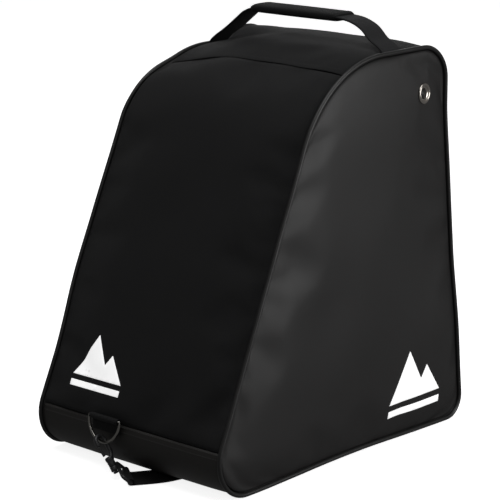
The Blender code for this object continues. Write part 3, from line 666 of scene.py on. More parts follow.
make_wrapped("front_panel", BAND_END + 0.0004, TOP_SEAM - 0.0002, front_crown, (30, 44), POLYESTER,
             (0.0006, 0.0022), 0.0016, 3.1, (1.2, 0.010, 0.0035))
make_wrapped("top_panel", TOP_SEAM + 0.0008, TOP_END - 0.0006, top_crown, (30, 24), POLYESTER,
             (0.0022, 0.0006), 0.0010, 7.7, (0.5, 0.006, 0.0015))
make_wrapped("lower_front_band", STARTS[1], BAND_END - 0.0004, lambda v: 0.0010, (24, 14), BAND_CLOTH,
             (0.0, 0.0008), 0.0006, 5.3, None)
make_wrapped("rear_lower_band", DOOR_SILL + 0.0004, STARTS[8], lambda v: 0.0, (24, 14), BAND_CLOTH,
             (0.0006, 0.0), 0.0004, 9.1, None)
print("wrapped panels:", ", ".join(panels))

# %% [markdown]
# ## Side panels
# A side panel has no straight run to follow, so a square grid is stretched over the outline: each ring of
# the square becomes a smaller copy of the outline. That avoids the pinched middle that a round fan of faces
# has.

# %% Side panels
SIDE_CROWN = 0.0065
SIDE_MIDDLE = Vector((FRONT_CORNER_Y + DEPTH * 0.58, HEIGHT * 0.47))
ARC_MIDDLES = [STARTS[i] + OUTLINE[i][-1] / 2 for i in (1, 3, 5, 7)]


def square_to_outline(a, b):
    """Ring number from 0 to 1 and distance round the outline for a point of the square."""
    ring = max(abs(a), abs(b))
    if ring == 0:
        return 0.0, 0.0
    if a == -ring:
        side, share = 0, (b / ring + 1) / 2
    elif b == ring:
        side, share = 1, (a / ring + 1) / 2
    elif a == ring:
        side, share = 2, (1 - b / ring) / 2
    else:
        side, share = 3, (1 - a / ring) / 2
    begin = ARC_MIDDLES[side]
    finish = ARC_MIDDLES[(side + 1) % 4] + (AROUND if side == 3 else 0)
    return ring, begin + (finish - begin) * share


def make_side(word, side):
    def where(u, v):
        a = (2 * u - 1) * side
        b = 2 * v - 1
        ring, distance = square_to_outline(round(a, 6), round(b, 6))
        ring = 1 - (1 - ring) ** 1.5
        edge, normal = walk(distance)
        edge = edge - normal * EDGE
        point = SIDE_MIDDLE + (edge - SIDE_MIDDLE) * ring
        from_seam = (1 - ring) * (edge - SIDE_MIDDLE).length
        x = half_width(point.y) + SIDE_CROWN * (1 - ring ** 4) + roll_down(from_seam, 0.009, 0.0014) + 0.0002
        fade = min(1, from_seam / 0.04)
        x += soft_bumps((0, point.x, point.y), 0.075, 0.0016, 20.0 + side) * fade
        lift = arch_lift(edge.x, edge.y) * ring
        return Vector((side * x, point.x, point.y + lift + SEAM_LIFT))

    panel = cloth_grid("side_panel_" + word, 40, 40, where, COATED, (DEPTH, HEIGHT))
    layer = panel.data.uv_layers["cloth"]
    for loop in panel.data.loops:
        spot = panel.data.vertices[loop.vertex_index].co
        layer.data[loop.index].uv = (spot.y, spot.z)
    settle(panel, 1.0, 0.008, 0.0030)
    panels["side_" + word] = plain(thicken(panel), None)


for word, side in (("right", 1), ("left", -1)):
    make_side(word, side)
print("side panels:", [len(panels["side_" + word].data.polygons) for word in ("right", "left")], "faces")

# %% [markdown]
# ## Ventilation eyelets
# Each side has a plated eyelet: a rolled flange outside, a neck through the cloth, a washer inside and a
# small moulded screen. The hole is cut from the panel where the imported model's flange sits, and the flange
# is a turned shape seated on the cloth at that spot.

# %% Eyelets
def turned(name, profile, matrix, material, steps=64):
    """A closed profile of (radius, height) pairs turned about the matrix's Z axis."""
    builder = bmesh.new()
    ring = [builder.verts.new((r, 0, h)) for r, h in profile]
    edges = [builder.edges.new((ring[i], ring[(i + 1) % len(ring)])) for i in range(len(ring))]
    bmesh.ops.spin(builder, geom=ring + edges, axis=(0, 0, 1), cent=(0, 0, 0), dvec=(0, 0, 0),
                   angle=2 * math.pi, steps=steps)
    bmesh.ops.remove_doubles(builder, verts=builder.verts, dist=1e-7)
    bmesh.ops.recalc_face_normals(builder, faces=builder.faces)
    bmesh.ops.transform(builder, matrix=matrix, verts=builder.verts)
    obj = add_mesh(name, builder, material)
    obj.data.set_sharp_from_angle(angle=math.radians(50))
    return obj


EYELET_OUTER = 0.0108
EYELET_HOLE = 0.0060
NECK = 0.0056


def flange_profile():
    """The rolled flange, its neck and the curl at the neck's foot."""
    lip = NECK + 0.0018
    middle, half = (EYELET_OUTER + lip) / 2, (EYELET_OUTER - lip) / 2
    dome = [(middle + half * math.cos(math.pi * i / 10), 0.0002 + 0.0016 * math.sin(math.pi * i / 10))
            for i in range(11)]
    throat = [(NECK + 0.0005, -0.0001), (NECK - 0.0006, -0.0012)]
    return dome + throat + [(NECK - 0.0006, -0.0070), (NECK, -0.0070), (NECK, -0.0002), (lip, 0.0)]


def make_eyelet(word, side):
    low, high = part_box("eyelet_" + word)
    centre = Vector([(a + b) / 2 for a, b in zip(low, high)])
    panel = panels["side_" + word]
    tree = BVHTree.FromPolygons([v.co for v in panel.data.vertices],
                                [list(p.vertices) for p in panel.data.polygons])
    spot, facing, _, _ = tree.ray_cast(Vector((side, centre.y, centre.z)), Vector((-side, 0, 0)))
    seat = Matrix.Translation(spot + facing * 0.0003) @ facing.to_track_quat("Z", "Y").to_matrix().to_4x4()
    bpy.ops.mesh.primitive_cylinder_add(vertices=48, radius=EYELET_HOLE, depth=0.03)
    cutter = bpy.context.object
    cutter.matrix_world = seat
    hole = panel.modifiers.new("hole", "BOOLEAN")
    hole.operation = "DIFFERENCE"
    hole.object = cutter
    panels["side_" + word] = plain(panel, "root", "side_panel_" + word)
    bpy.data.objects.remove(cutter, do_unlink=True)
    ring = turned("eyelet_flange_" + word, flange_profile(), seat, NICKEL)
    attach(ring, "root")
    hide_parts("eyelet_" + word)
    screen = make_screen("eyelet_screen_" + word, seat)
    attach(screen, "root")
    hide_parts("vent_screen_" + word)


def make_screen(name, seat):
    """A slightly domed moulded disc with rings stepped into it."""
    builder = bmesh.new()
    disc = NECK - 0.0007
    bmesh.ops.create_circle(builder, cap_ends=True, segments=40, radius=disc)
    bmesh.ops.inset_region(builder, faces=builder.faces[:], thickness=disc * 0.28, depth=-0.0004)
    bmesh.ops.inset_region(builder, faces=[f for f in builder.faces if len(f.verts) > 4],
                           thickness=disc * 0.16, depth=0.0006)
    bmesh.ops.inset_region(builder, faces=[f for f in builder.faces if len(f.verts) > 4],
                           thickness=disc * 0.2, depth=-0.0003)
    bmesh.ops.recalc_face_normals(builder, faces=builder.faces)
    bmesh.ops.transform(builder, matrix=seat @ Matrix.Translation((0, 0, -0.0012)), verts=builder.verts)
    obj = add_mesh(name, builder, COATED)
    wall = obj.modifiers.new("wall", "SOLIDIFY")
    wall.thickness = 0.0008
    return plain(obj, None)


for word, side in (("right", 1), ("left", -1)):
    make_eyelet(word, side)
print("eyelets seated on both sides")

# %% [markdown]
# ## Sweeping a section along a path
# Piping, webbing, wire and tape are all one flat outline carried along a path. The sweep keeps a cloth map
# in metres, so the webbing's ribs run at their true pitch round every bend.


# %% Paths and sweeps
def smooth_path(points, steps=6, closed=False):
    """A curve through the points, with steps points between each pair."""
    points = [Vector(p) for p in points]
    count = len(points)
    path = []
    for i in range(count if closed else count - 1):
        if closed:
            a, b, c, d = (points[(i + k) % count] for k in (-1, 0, 1, 2))
        else:
            a, b, c, d = points[max(i - 1, 0)], points[i], points[i + 1], points[min(i + 2, count - 1)]
        for k in range(steps):
            t = k / steps
            path.append((b * 2 + (c - a) * t + (a * 2 - b * 5 + c * 4 - d) * t ** 2
                         + (b * 3 - a - c * 3 + d) * t ** 3) / 2)
    return path if closed else path + [points[-1]]


def frames_along(path, side, closed=False):
    """Point, side and up directions along a path whose side direction is steady."""
    side = Vector(side).normalized()
    count = len(path)
    frames = []
    for i, point in enumerate(path):
        before = path[(i - 1) % count] if closed else path[max(i - 1, 0)]
        after = path[(i + 1) % count] if closed else path[min(i + 1, count - 1)]
        along = (Vector(after) - Vector(before)).normalized()
        across = (side - along * side.dot(along)).normalized()
        frames.append((Vector(point), across, along.cross(across)))
    return frames


def round_section(radius, sides=14):
    return [(radius * math.cos(2 * math.pi * i / sides), radius * math.sin(2 * math.pi * i / sides))
            for i in range(sides)]


def flat_section(width, thickness, cells=10):
    """A flat strip with rounded edges."""
    half = width / 2 - thickness / 2
    r = thickness / 2
    top = [(-half + 2 * half * i / cells, r) for i in range(cells + 1)]
    right = [(half + r * math.sin(a), r * math.cos(a)) for a in (math.pi * k / 4 for k in (1, 2, 3))]
    left = [(-half - r * math.sin(a), -r * math.cos(a)) for a in (math.pi * k / 4 for k in (1, 2, 3))]
    return top + right + [(x, -r) for x, _ in reversed(top)] + left


def sweep(name, frames, section, material, closed=False, body="root", node=None, scale=None):
    """Carries a section along frames; scale(share) may thin the section along the way."""
    builder = bmesh.new()
    layer = builder.loops.layers.uv.new("cloth")
    rows = []
    along = [0.0]
    for i, (point, side, up) in enumerate(frames):
        size = scale(i / (len(frames) - 1)) if scale else (1, 1)
        rows.append([builder.verts.new(point + side * a * size[0] + up * b * size[1]) for a, b in section])
        if i:
            along.append(along[-1] + (point - frames[i - 1][0]).length)
    if closed:
        rows.append(rows[0])
        along.append(along[-1] + (frames[0][0] - frames[-1][0]).length)
    count = len(section)
    across = [a for a, _ in section]
    for i in range(len(rows) - 1):
        for j in range(count):
            k = (j + 1) % count
            face = builder.faces.new((rows[i][j], rows[i][k], rows[i + 1][k], rows[i + 1][j]))
            for loop, row, column in zip(face.loops, (i, i, i + 1, i + 1), (j, k, k, j)):
                loop[layer].uv = (along[row], across[column])
    if not closed:
        builder.faces.new(list(reversed(rows[0])))
        builder.faces.new(rows[-1])
    bmesh.ops.recalc_face_normals(builder, faces=builder.faces)
    obj = add_mesh(name, builder, material)
    obj.data.set_sharp_from_angle(angle=math.radians(48))
    if body:
        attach(obj, body)
    for each in ([node] if isinstance(node, str) else node or []):
        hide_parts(each)
    return obj


# %% [markdown]
# ## Rows of stitches and zip teeth
# Stitches and teeth are one small part repeated at a steady pitch. A Geometry Nodes tree resamples a line
# at that pitch, turns a part to follow the line at each point, varies its size a little and makes it solid.


# %% A tree that repeats a part along a line
def add_node(tree, kind, settings=None, inputs=None):
    made = tree.nodes.new(kind)
    for label, value in (settings or {}).items():
        setattr(made, label, value)
    for label, value in (inputs or {}).items():
        if isinstance(value, bpy.types.NodeSocket):
            tree.links.new(value, made.inputs[label])
        else:
            made.inputs[label].default_value = value
    return made


def row_tree():
    tree = bpy.data.node_groups.new("row_of_parts", "GeometryNodeTree")
    face = tree.interface
    face.new_socket("Line", in_out="INPUT", socket_type="NodeSocketGeometry")
    for label, kind, value in (("Pitch", "NodeSocketFloat", 0.003),
                               ("Size", "NodeSocketVector", (0.001,) * 3),
                               ("Up", "NodeSocketVector", (0, 0, 1)), ("Seed", "NodeSocketInt", 7),
                               ("Finish", "NodeSocketMaterial", None)):
        made = face.new_socket(label, in_out="INPUT", socket_type=kind)
        if value is not None:
            made.default_value = value
    face.new_socket("Parts", in_out="OUTPUT", socket_type="NodeSocketGeometry")
    given = add_node(tree, "NodeGroupInput").outputs
    part = add_node(tree, "GeometryNodeMeshUVSphere", inputs={"Segments": 8, "Rings": 5, "Radius": 0.5})
    curve = add_node(tree, "GeometryNodeMeshToCurve", inputs={0: given["Line"]})
    line = add_node(tree, "GeometryNodeResampleCurve", {"mode": "LENGTH"},
                    {"Curve": curve.outputs[0], "Length": given["Pitch"]})
    tangent = add_node(tree, "GeometryNodeInputTangent")
    turn = add_node(tree, "FunctionNodeAlignRotationToVector", {"axis": "X"}, {"Vector": tangent.outputs[0]})
    level = add_node(tree, "FunctionNodeAlignRotationToVector", {"axis": "Z", "pivot_axis": "X"},
                     {"Rotation": turn.outputs[0], "Vector": given["Up"]})
    vary = add_node(tree, "FunctionNodeRandomValue", {"data_type": "FLOAT"},
                    {2: 0.88, 3: 1.0, "Seed": given["Seed"]})
    scale = add_node(tree, "ShaderNodeVectorMath", {"operation": "SCALE"},
                     {0: given["Size"], "Scale": vary.outputs[1]})
    parts = add_node(tree, "GeometryNodeInstanceOnPoints",
                     inputs={"Points": line.outputs[0], "Instance": part.outputs[0],
                             "Rotation": level.outputs[0], "Scale": scale.outputs[0]})
    solid = add_node(tree, "GeometryNodeRealizeInstances", inputs={0: parts.outputs[0]})
    done = add_node(tree, "GeometryNodeSetMaterial", inputs={"Geometry": solid.outputs[0],
                                                             "Material": given["Finish"]})
    add_node(tree, "NodeGroupOutput", inputs={"Parts": done.outputs[0]})
    return tree


ROWS = row_tree()
SOCKETS = {item.name: item.identifier for item in ROWS.interface.items_tree if item.in_out == "INPUT"}


def repeat_along(name, lines, pitch, size, material, up=(0, 0, 1), body="root", seed=7):
    """One piece made of a small part repeated along each line."""
    mesh = bpy.data.meshes.new(name + "_lines")
    corners, edges = [], []
    for line in lines:
        first = len(corners)
        corners += [tuple(p) for p in line]
        edges += [(first + i, first + i + 1) for i in range(len(line) - 1)]
    mesh.from_pydata(corners, edges, [])
    obj = bpy.data.objects.new(name, mesh)
    bpy.context.collection.objects.link(obj)
    modifier = obj.modifiers.new("rows", "NODES")
    modifier.node_group = ROWS
    for label, value in (("Pitch", pitch), ("Size", size), ("Up", up), ("Seed", seed), ("Finish", material)):
        modifier[SOCKETS[label]] = value
    made = plain(obj, body)
    made.data.shade_smooth()
    return made


# %% [markdown]
# Stitching sits on cloth that has already settled, so its line can't be drawn beforehand. Each point of a
# line is dropped straight onto the finished piece instead.

# %% Laying a line on a finished surface
def surface_tree(*objs):
    """A tree for finding the nearest outside point of some finished pieces."""
    points, faces = [], []
    for obj in objs:
        first = len(points)
        points += [v.co.copy() for v in obj.data.vertices]
        faces += [[first + i for i in p.vertices] for p in obj.data.polygons]
    return BVHTree.FromPolygons(points, faces)


def drop_on(tree, point, outward, lift):
    """The point of the surface under a point, lifted off it, with the direction it faces."""
    outward = Vector(outward).normalized()
    spot, facing, _, _ = tree.ray_cast(Vector(point) + outward * 0.03, -outward, 0.06)
    if spot is None:
        spot, facing, _, _ = tree.find_nearest(Vector(point))
    return spot + facing * lift, facing


def across_line(tree, distance, reach, lift, wave=0.0, count=60, seed=0.0):
    """A line from side to side over the outline at one distance, laid on the surface."""
    line = []
    for i in range(count + 1):
        t = 2 * i / count - 1
        shift = wave * noise.noise(Vector((t * 2.6, seed, 0)))
        flat, normal = walk(distance + shift)
        height = flat.y + SEAM_LIFT + arch_lift(flat.x, flat.y)
        point = Vector((half_width(flat.y) * reach * t, flat.x, height))
        line.append(drop_on(tree, point, (0, normal.x, normal.y), lift))
    return line


# %% [markdown]
# ## Piping
# The piping is a cord wrapped in coated tape. The tape's two edges form a flange that is caught in the
# seam, and the flange is what closes the seam behind the cord, so it is drawn too.

# %% Piping, its flange and the binding inside
FLANGE_REACH = 0.0068
ROUND_STEPS = 300


def seam_frames(side):
    frames = []
    for i in range(ROUND_STEPS):
        distance = AROUND * i / ROUND_STEPS
        flat, normal = walk(distance)
        place = Vector((side * half_width(flat.y), flat.x, flat.y + arch_lift(flat.x, flat.y) + SEAM_LIFT))
        wander = noise.noise(Vector((distance * 22, side * 9.0, 0))) * 0.0004
        frames.append((place + Vector((side * wander, 0, 0)), Vector((side, 0, 0)),
                       Vector((0, normal.x, normal.y))))
    return frames


def piping_section():
    opening = math.radians(13)
    turn = 2 * math.pi - 2 * opening
    start = -3 * math.pi / 4 + opening
    angles = [start + turn * i / 16 for i in range(17)]
    section = [(PIPING_RADIUS * math.cos(a), PIPING_RADIUS * math.sin(a)) for a in angles]
    tip = FLANGE_REACH * math.sqrt(0.5)
    return section + [(-tip - 0.0003, -tip + 0.0003), (-tip + 0.0003, -tip - 0.0003)]


def binding_section():
    inner = 0.0052
    return [(-inner, -0.0030), (-inner, -0.0120), (-inner - 0.0007, -0.0124), (-inner - 0.0014, -0.0120),
            (-inner - 0.0014, -0.0030), (-inner - 0.0007, -0.0026)]


for word, side in (("right", 1), ("left", -1)):
    frames = seam_frames(side)
    sweep("piping_cord_" + word, frames, piping_section(), PIPING_SKIN, closed=True, node="piping_" + word)
    sweep("inner_binding_" + word, frames, binding_section(), LINING, closed=True,
          node="seam_binding_" + word)

# %% [markdown]
# ## The base
# The base is coated cloth over a stiff board. It touches the floor through most of its middle, and it rises
# into a shallow channel where the folded strap passes under the bag.

# %% Base panel
STRAP_WIDTH = 0.0380
STRAP_THICKNESS = 0.0014
STRAP_LIFT = 0.0005
CHANNEL = 0.0068
FRONT_RUN = [(0.0215, -0.1600), (0.0262, -0.1400), (0.0320, -0.1100)]
REAR_RUN = [(0.0610, 0.1350), (0.0670, 0.1550)]


def eased(value):
    value = min(max(value, 0), 1)
    return value * value * (3 - 2 * value)


def strap_line_x(y):
    (front_x, front_y), (rear_x, rear_y) = FRONT_RUN[-1], REAR_RUN[0]
    return front_x + (rear_x - front_x) * (y - front_y) / (rear_y - front_y)


def make_base():
    start = walk(STARTS[1] - 0.0015)[0]
    end = walk(STARTS[8] + 0.0015)[0]
    half = WIDTH_BASE / 2 - EDGE

    def where(u, v):
        u = spread(u, 1.3)
        y = end.x + (start.x - end.x) * v
        x = half * (2 * u - 1)
        edge = min(u, 1 - u) * WIDTH_BASE
        tip = min(v, 1 - v) * DEPTH
        seam = SEAM_LIFT + arch_lift(y, 0.0)
        height = seam * (1 - eased(edge / 0.018) * eased(tip / 0.018))
        beside = abs(x - strap_line_x(y)) - STRAP_WIDTH / 2 - 0.003
        height = max(height, CHANNEL * (1 - eased(beside / 0.016)))
        height += 0.0005 + 0.0005 * noise.noise(Vector((x, y, 0)) / 0.06)
        return Vector((x, y, height))

    panel = cloth_grid("base_cloth", 52, 44, where, BAND_CLOTH, (WIDTH_BASE, end.x - start.x))
    panels["base"] = plain(thicken(panel, WALL, 0), "root", "base_panel")


make_base()
frame["nodes"]["base_board"].data.materials.clear()
frame["nodes"]["base_board"].data.materials.append(BOARD)
print("base panel:", len(panels["base"].data.polygons), "faces")

# %% [markdown]
# ## The lapped seams
# The top panel's edge is folded under and laid over the front panel, which leaves a soft, slightly wavy
# lip. The band's seam is flat, with two rows of stitching just below it that hold the seam allowance down.

# %% Lips and topstitching
def lip(name, tree, distance, reach, width, height, wave, material, seed):
    line = across_line(tree, distance, reach, height * 0.25, wave, 90, seed)
    frames = []
    for i, (point, facing) in enumerate(line):
        before, after = line[max(i - 1, 0)][0], line[min(i + 1, len(line) - 1)][0]
        along = (after - before).normalized()
        side = facing.cross(along).normalized()
        frames.append((point, side, along.cross(side)))
    return sweep(name, frames, flat_section(width, height, 4), material,
                 scale=lambda s: (1, 0.35 + 0.65 * min(1, min(s, 1 - s) / 0.04)))


top_tree = surface_tree(panels["front_panel"], panels["top_panel"])
lip("top_seam_lip", top_tree, TOP_SEAM + 0.0030, 0.975, 0.0062, 0.0017, 0.0018, POLYESTER, 4.0)
lip("top_rear_lip", surface_tree(panels["top_panel"]), TOP_END - 0.0036, 0.970, 0.0060, 0.0013, 0.0006,
    POLYESTER, 8.0)

STITCH = (0.0025, 0.00080, 0.00070)
STITCH_PITCH = 0.0032
STITCH_LIFT = 0.00005


def stitch_band(name, panel, distances, reach, up, seed):
    """Rows of topstitching from side to side over a band."""
    tree = surface_tree(panels[panel])
    rows = [[p for p, _ in across_line(tree, distance, reach, STITCH_LIFT)] for distance in distances]
    repeat_along(name, rows, STITCH_PITCH, STITCH, THREAD_FINISH, up=up, seed=seed)


stitch_band("band_stitching", "lower_front_band", (BAND_END - 0.0024, BAND_END - 0.0068), 0.955,
            (0, -1, 0.3), 3)
stitch_band("rear_band_stitching", "rear_lower_band", (DOOR_SILL + 0.003, DOOR_SILL + 0.007), 0.95,
            (0, 1, 0), 5)
print("seam lips and band stitching laid")

# %% [markdown]
# ## The rear wall and its door
# The rear wall is a frame of coated cloth round an arched doorway. The door is hinged along its sill and
# held by a coil zip: a tape sewn to the frame, another sewn to the door, and two rows of teeth that
# interlock. Each row rides with the side it is sewn to.

# %% Sizes of the rear wall
DOORWAY_HALF = 0.0960
DOORWAY_RADIUS = 0.0380
REAR_HEIGHT = DOOR_SILL - TOP_END
DOORWAY_TOP = REAR_HEIGHT - 0.0130
TAPE_WIDTH = 0.0068
GAP = 0.0004
sill, sill_out = walk(DOOR_SILL)
WALL_OUT = Vector((0, sill_out.x, sill_out.y))
WALL_UP = Vector((0, -sill_out.y, sill_out.x))
WALL_FOOT = Vector((0, sill.x, sill.y + SEAM_LIFT))


def on_wall(x, up, out=0.0):
    return WALL_FOOT + Vector((x, 0, 0)) + WALL_UP * up + WALL_OUT * out


def doorway_path(inset, steps=14):
    """The doorway's arch, moved in by inset, from lower left to lower right as (x, up)."""
    half, top, radius = DOORWAY_HALF - inset, DOORWAY_TOP - inset, DOORWAY_RADIUS - inset
    leg = top - radius
    path = [(-half, GAP + (leg - GAP) * i / 24) for i in range(24)]
    path += [(-half + radius * (1 - math.cos(a)), leg + radius * math.sin(a))
             for a in (math.pi / 2 * i / steps for i in range(steps))]
    path += [((half - radius) * (i / 12 - 1), top) for i in range(12)]
    return path + [(0, top)] + [(-x, up) for x, up in reversed(path)]


# %% [markdown]
# The frame is one piece of cloth with an arched opening. A grid is stretched between the arch and the
# frame's outer edge, which keeps its faces even where the arch bends. The door is a second grid, narrowed
# at the top to match.

# %% Frame of the doorway
def frame_border(x, up):
    """The outer edge of the rear frame, straight out from a point of the doorway."""
    def edge(height):
        return half_width(sill.y + (walk(TOP_END)[0].y - sill.y) * height / REAR_HEIGHT) - EDGE

    leg = DOORWAY_TOP - DOORWAY_RADIUS
    shoulder = DOORWAY_HALF - DOORWAY_RADIUS
    top = REAR_HEIGHT - GAP
    if up <= leg:
        return math.copysign(edge(up), x), up
    if abs(x) <= shoulder:
        return x, top
    run, rise = abs(x) - shoulder, up - leg
    reach = min((edge(up) - shoulder) / run, (top - leg) / max(rise, 1e-9))
    if abs(run * (top - leg) - rise * (edge(top) - shoulder)) < 0.0006:
        return math.copysign(edge(top), x), top
    return math.copysign(shoulder + run * reach, x), leg + rise * reach


def make_rear_frame():
    inner = doorway_path(0.0, 28)
    count = len(inner)

    def where(u, v):
        x, up = inner[min(round(u * (count - 1)), count - 1)]
        far_x, far_up = frame_border(x, up)
        share = spread(v, 1.4)
        px, pup = x + (far_x - x) * share, up + (far_up - up) * share
        crown = 0.0012 * math.sin(math.pi * share)
        return on_wall(px, pup, crown)

    panel = cloth_grid("rear_wall", count - 1, 10, where, COATED, (1, 1))
    wall_map(panel)
    panels["rear_frame"] = plain(thicken(panel, WALL, 0), "root", "rear_frame")


def wall_map(panel):
    """Cloth map taken straight from the place on the wall."""
    layer = panel.data.uv_layers["cloth"]
    for loop in panel.data.loops:
        spot = panel.data.vertices[loop.vertex_index].co - WALL_FOOT
        layer.data[loop.index].uv = (spot.x, spot.dot(WALL_UP))


def make_rear_door():
    inset = 3 * GAP + 2 * TAPE_WIDTH
    half, top, radius = DOORWAY_HALF - inset, DOORWAY_TOP - inset, DOORWAY_RADIUS - inset

    def where(u, v):
        up = GAP + (top - GAP) * spread(v, 1.8)
        over = max(up - (top - radius), 0)
        reach = half - (radius - math.sqrt(max(radius ** 2 - over ** 2, 0)))
        share = 2 * spread(u, 1.5) - 1
        middle = (1 - share ** 4) * (1 - (2 * v - 1) ** 2)
        crown = (0.0026 + soft_bumps((share, up, 5), 0.4, 0.0012, 2.0)) * middle
        return on_wall(reach * share, up, crown)

    panel = cloth_grid("rear_door_cloth", 30, 40, where, POLYESTER, (1, 1))
    wall_map(panel)
    settle(panel, 0.8, 0.006, 0.0020)
    panels["rear_door"] = plain(thicken(panel, WALL, 0), "rear_door", "rear_door")


make_rear_frame()
make_rear_door()


# %% [markdown]
# Each tape follows the arch at its own inset, and its teeth and stitches are rows of small parts along the
# same arch. A strip of facing behind each tape closes the slit beside it when the door hangs open. The
# sliders and pull tabs are small hard parts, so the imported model's own shapes are shown.

# %% Zip tapes, teeth, sliders and tabs
def wall_frames(path, out):
    return frames_along([on_wall(x, up, out) for x, up in path], WALL_OUT)


def turned_quarter(frames):
    return [(point, up, side * -1) for point, side, up in frames]


TOOTH = (0.0010, 0.0030, 0.0016)
TOOTH_PITCH = 0.0021
TAPE_STITCH = (0.0022, 0.00045, 0.0004)
TAPE_STITCH_PITCH = 0.0030
chain = 1.5 * GAP + TAPE_WIDTH
for name, inset, node, body in (("frame", GAP, "zip_tape_fixed", "root"),
                                ("door", 2 * GAP + TAPE_WIDTH, "zip_tape_door", "rear_door")):
    path = doorway_path(inset + TAPE_WIDTH / 2)
    sweep("zip_tape_" + name + "_side", turned_quarter(wall_frames(path, -0.0010)),
          flat_section(TAPE_WIDTH, 0.0012, 6), TAPE, body=body, node=node)
    facing = doorway_path(0.0 if name == "frame" else inset + TAPE_WIDTH)
    sweep("zip_facing_" + name, turned_quarter(wall_frames(facing, -0.0028)), flat_section(0.0080, 0.0009, 6),
          TAPE, body=body)
    shift = -0.0007 if name == "frame" else 0.0007
    line = [on_wall(x, up, 0.00005) for x, up in doorway_path(chain + shift)]
    start = 0 if name == "frame" else 1
    repeat_along("zip_teeth_" + name, [line[start:]], TOOTH_PITCH, TOOTH, ZIP_METAL,
                 up=tuple(WALL_OUT), body=body, seed=11)
    edge = 0.0016 if name == "frame" else TAPE_WIDTH - 0.0016
    rows = [[on_wall(x, up, -0.0003) for x, up in doorway_path(inset + edge)]]
    repeat_along("zip_stitching_" + name, rows, TAPE_STITCH_PITCH, TAPE_STITCH, THREAD_FINISH,
                 up=tuple(WALL_OUT), body=body, seed=13)


def dress(node, material, bevel=0.00025):
    """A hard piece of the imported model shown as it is, with its finish and slightly eased edges."""
    obj = frame["nodes"][node]
    obj.data.materials.clear()
    obj.data.materials.append(material)
    if bevel:
        ease = obj.modifiers.new("ease", "BEVEL")
        ease.width = bevel
        ease.segments = 2
        ease.limit_method = "ANGLE"
        ease.angle_limit = math.radians(40)


for word in ("right", "left"):
    dress("zip_slider_" + word, ZIP_METAL, 0.0)
    dress("zip_puller_" + word, ZIP_METAL)
    dress("eyelet_washer_" + word, NICKEL, 0.0)
print("zip tapes, teeth and stitching laid on the frame and the door")

# %% [markdown]
# ## The handle
# A strip of ribbed webbing rises from the two side seams and runs through a padded sleeve, which is a piece
# of the polyester folded round foam and stitched across its ends. The webbing is sewn fast at its roots, so
# it bends between the bag and the grip when the handle is pushed over.

# %% Handle webbing and grip
HANDLE_Y = 0.0768
HANDLE_WIDTH = 0.0290
HANDLE_TOP = 0.4365
HANDLE_BEND = [(0.1178, 0.4066), (0.1150, 0.4094), (0.1085, 0.4138), (0.1010, 0.4180), (0.0900, 0.4278),
               (0.0780, 0.4333), (0.0660, 0.4358), (0.0500, 0.4365)]
# the left leg runs straighter and lower, because the left shoulder of the empty bag sags
HANDLE_SAG = [(0.1172, 0.3945), (0.1140, 0.3985), (0.1075, 0.4035), (0.0990, 0.4090), (0.0890, 0.4160),
              (0.0780, 0.4245), (0.0665, 0.4325), (0.0500, 0.4365)]
GRIP_LENGTH = 0.1150
SLEEVE_HALF_WIDTH = 0.0165
SLEEVE_HALF_HEIGHT = 0.0045


def make_handle():
    right = [Vector((x, HANDLE_Y, z)) for x, z in HANDLE_BEND]
    left = [Vector((-x, HANDLE_Y, z)) for x, z in HANDLE_SAG]
    points = right + [Vector((0, HANDLE_Y, HANDLE_TOP))] + list(reversed(left))
    path = smooth_path(points, 8)
    frames = frames_along(path, (0, 1, 0))
    web = sweep("handle_web", frames, flat_section(HANDLE_WIDTH, 0.0022, 12), WEBBING, body=None,
                node="handle_webbing")
    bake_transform(web, "root", "handle", start=(0, HANDLE_Y, 0.409), end=(0, HANDLE_Y, 0.4345))
    grip_path = [Vector((GRIP_LENGTH * (i / 40 - 0.5), HANDLE_Y, HANDLE_TOP)) for i in range(41)]

    def pinch(share):
        near = min(share, 1 - share) * GRIP_LENGTH
        soft = math.sqrt(1 - (1 - min(near / 0.004, 1)) ** 2)
        puff = 1 + 0.05 * math.sin(math.pi * share)
        return 0.90 + 0.10 * soft, (0.66 + 0.34 * soft) * puff

    # the sleeve wears the darker copy of the polyester, painted shade against the top light
    grip = sweep("handle_sleeve", frames_along(grip_path, (0, 1, 0)), sleeve_section(), GRIP_CLOTH_PAINTED_SHADE,
                 body="handle", node="handle_grip", scale=pinch)
    return web, grip


def sleeve_section():
    """A flattened roll 33 mm wide with a fuller middle."""
    points = []
    for i in range(36):
        a = 2 * math.pi * i / 36
        x = math.copysign(abs(math.cos(a)) ** 0.55, math.cos(a)) * SLEEVE_HALF_WIDTH
        z = math.copysign(abs(math.sin(a)) ** 0.60, math.sin(a)) * SLEEVE_HALF_HEIGHT
        points.append((x, z))
    return points


handle_web, handle_sleeve = make_handle()
sleeve_tree = surface_tree(handle_sleeve)
ends = []
for x in (-GRIP_LENGTH / 2 + 0.0045, GRIP_LENGTH / 2 - 0.0045):
    ends.append([drop_on(sleeve_tree, (x, HANDLE_Y + 0.014 * (i / 5 - 1), HANDLE_TOP), (0, 0, 1), 0.0)[0]
                 for i in range(11)])
repeat_along("sleeve_stitching", ends, 0.0030, (0.0022, 0.0005, 0.0005), THREAD_FINISH, body="handle",
             seed=17)
print("handle:", [len(piece.data.polygons) for piece in (handle_web, handle_sleeve)], "faces")

# %% [markdown]
# ## Clips: tab, ring, hook and swivel
# At each end of the bag a folded web tab holds a bent-wire D-ring. A moulded hook hangs from the ring, its
# gate closes the mouth, and a swivel barrel on the hook's stem carries the wire loop that the strap is sewn
# to.

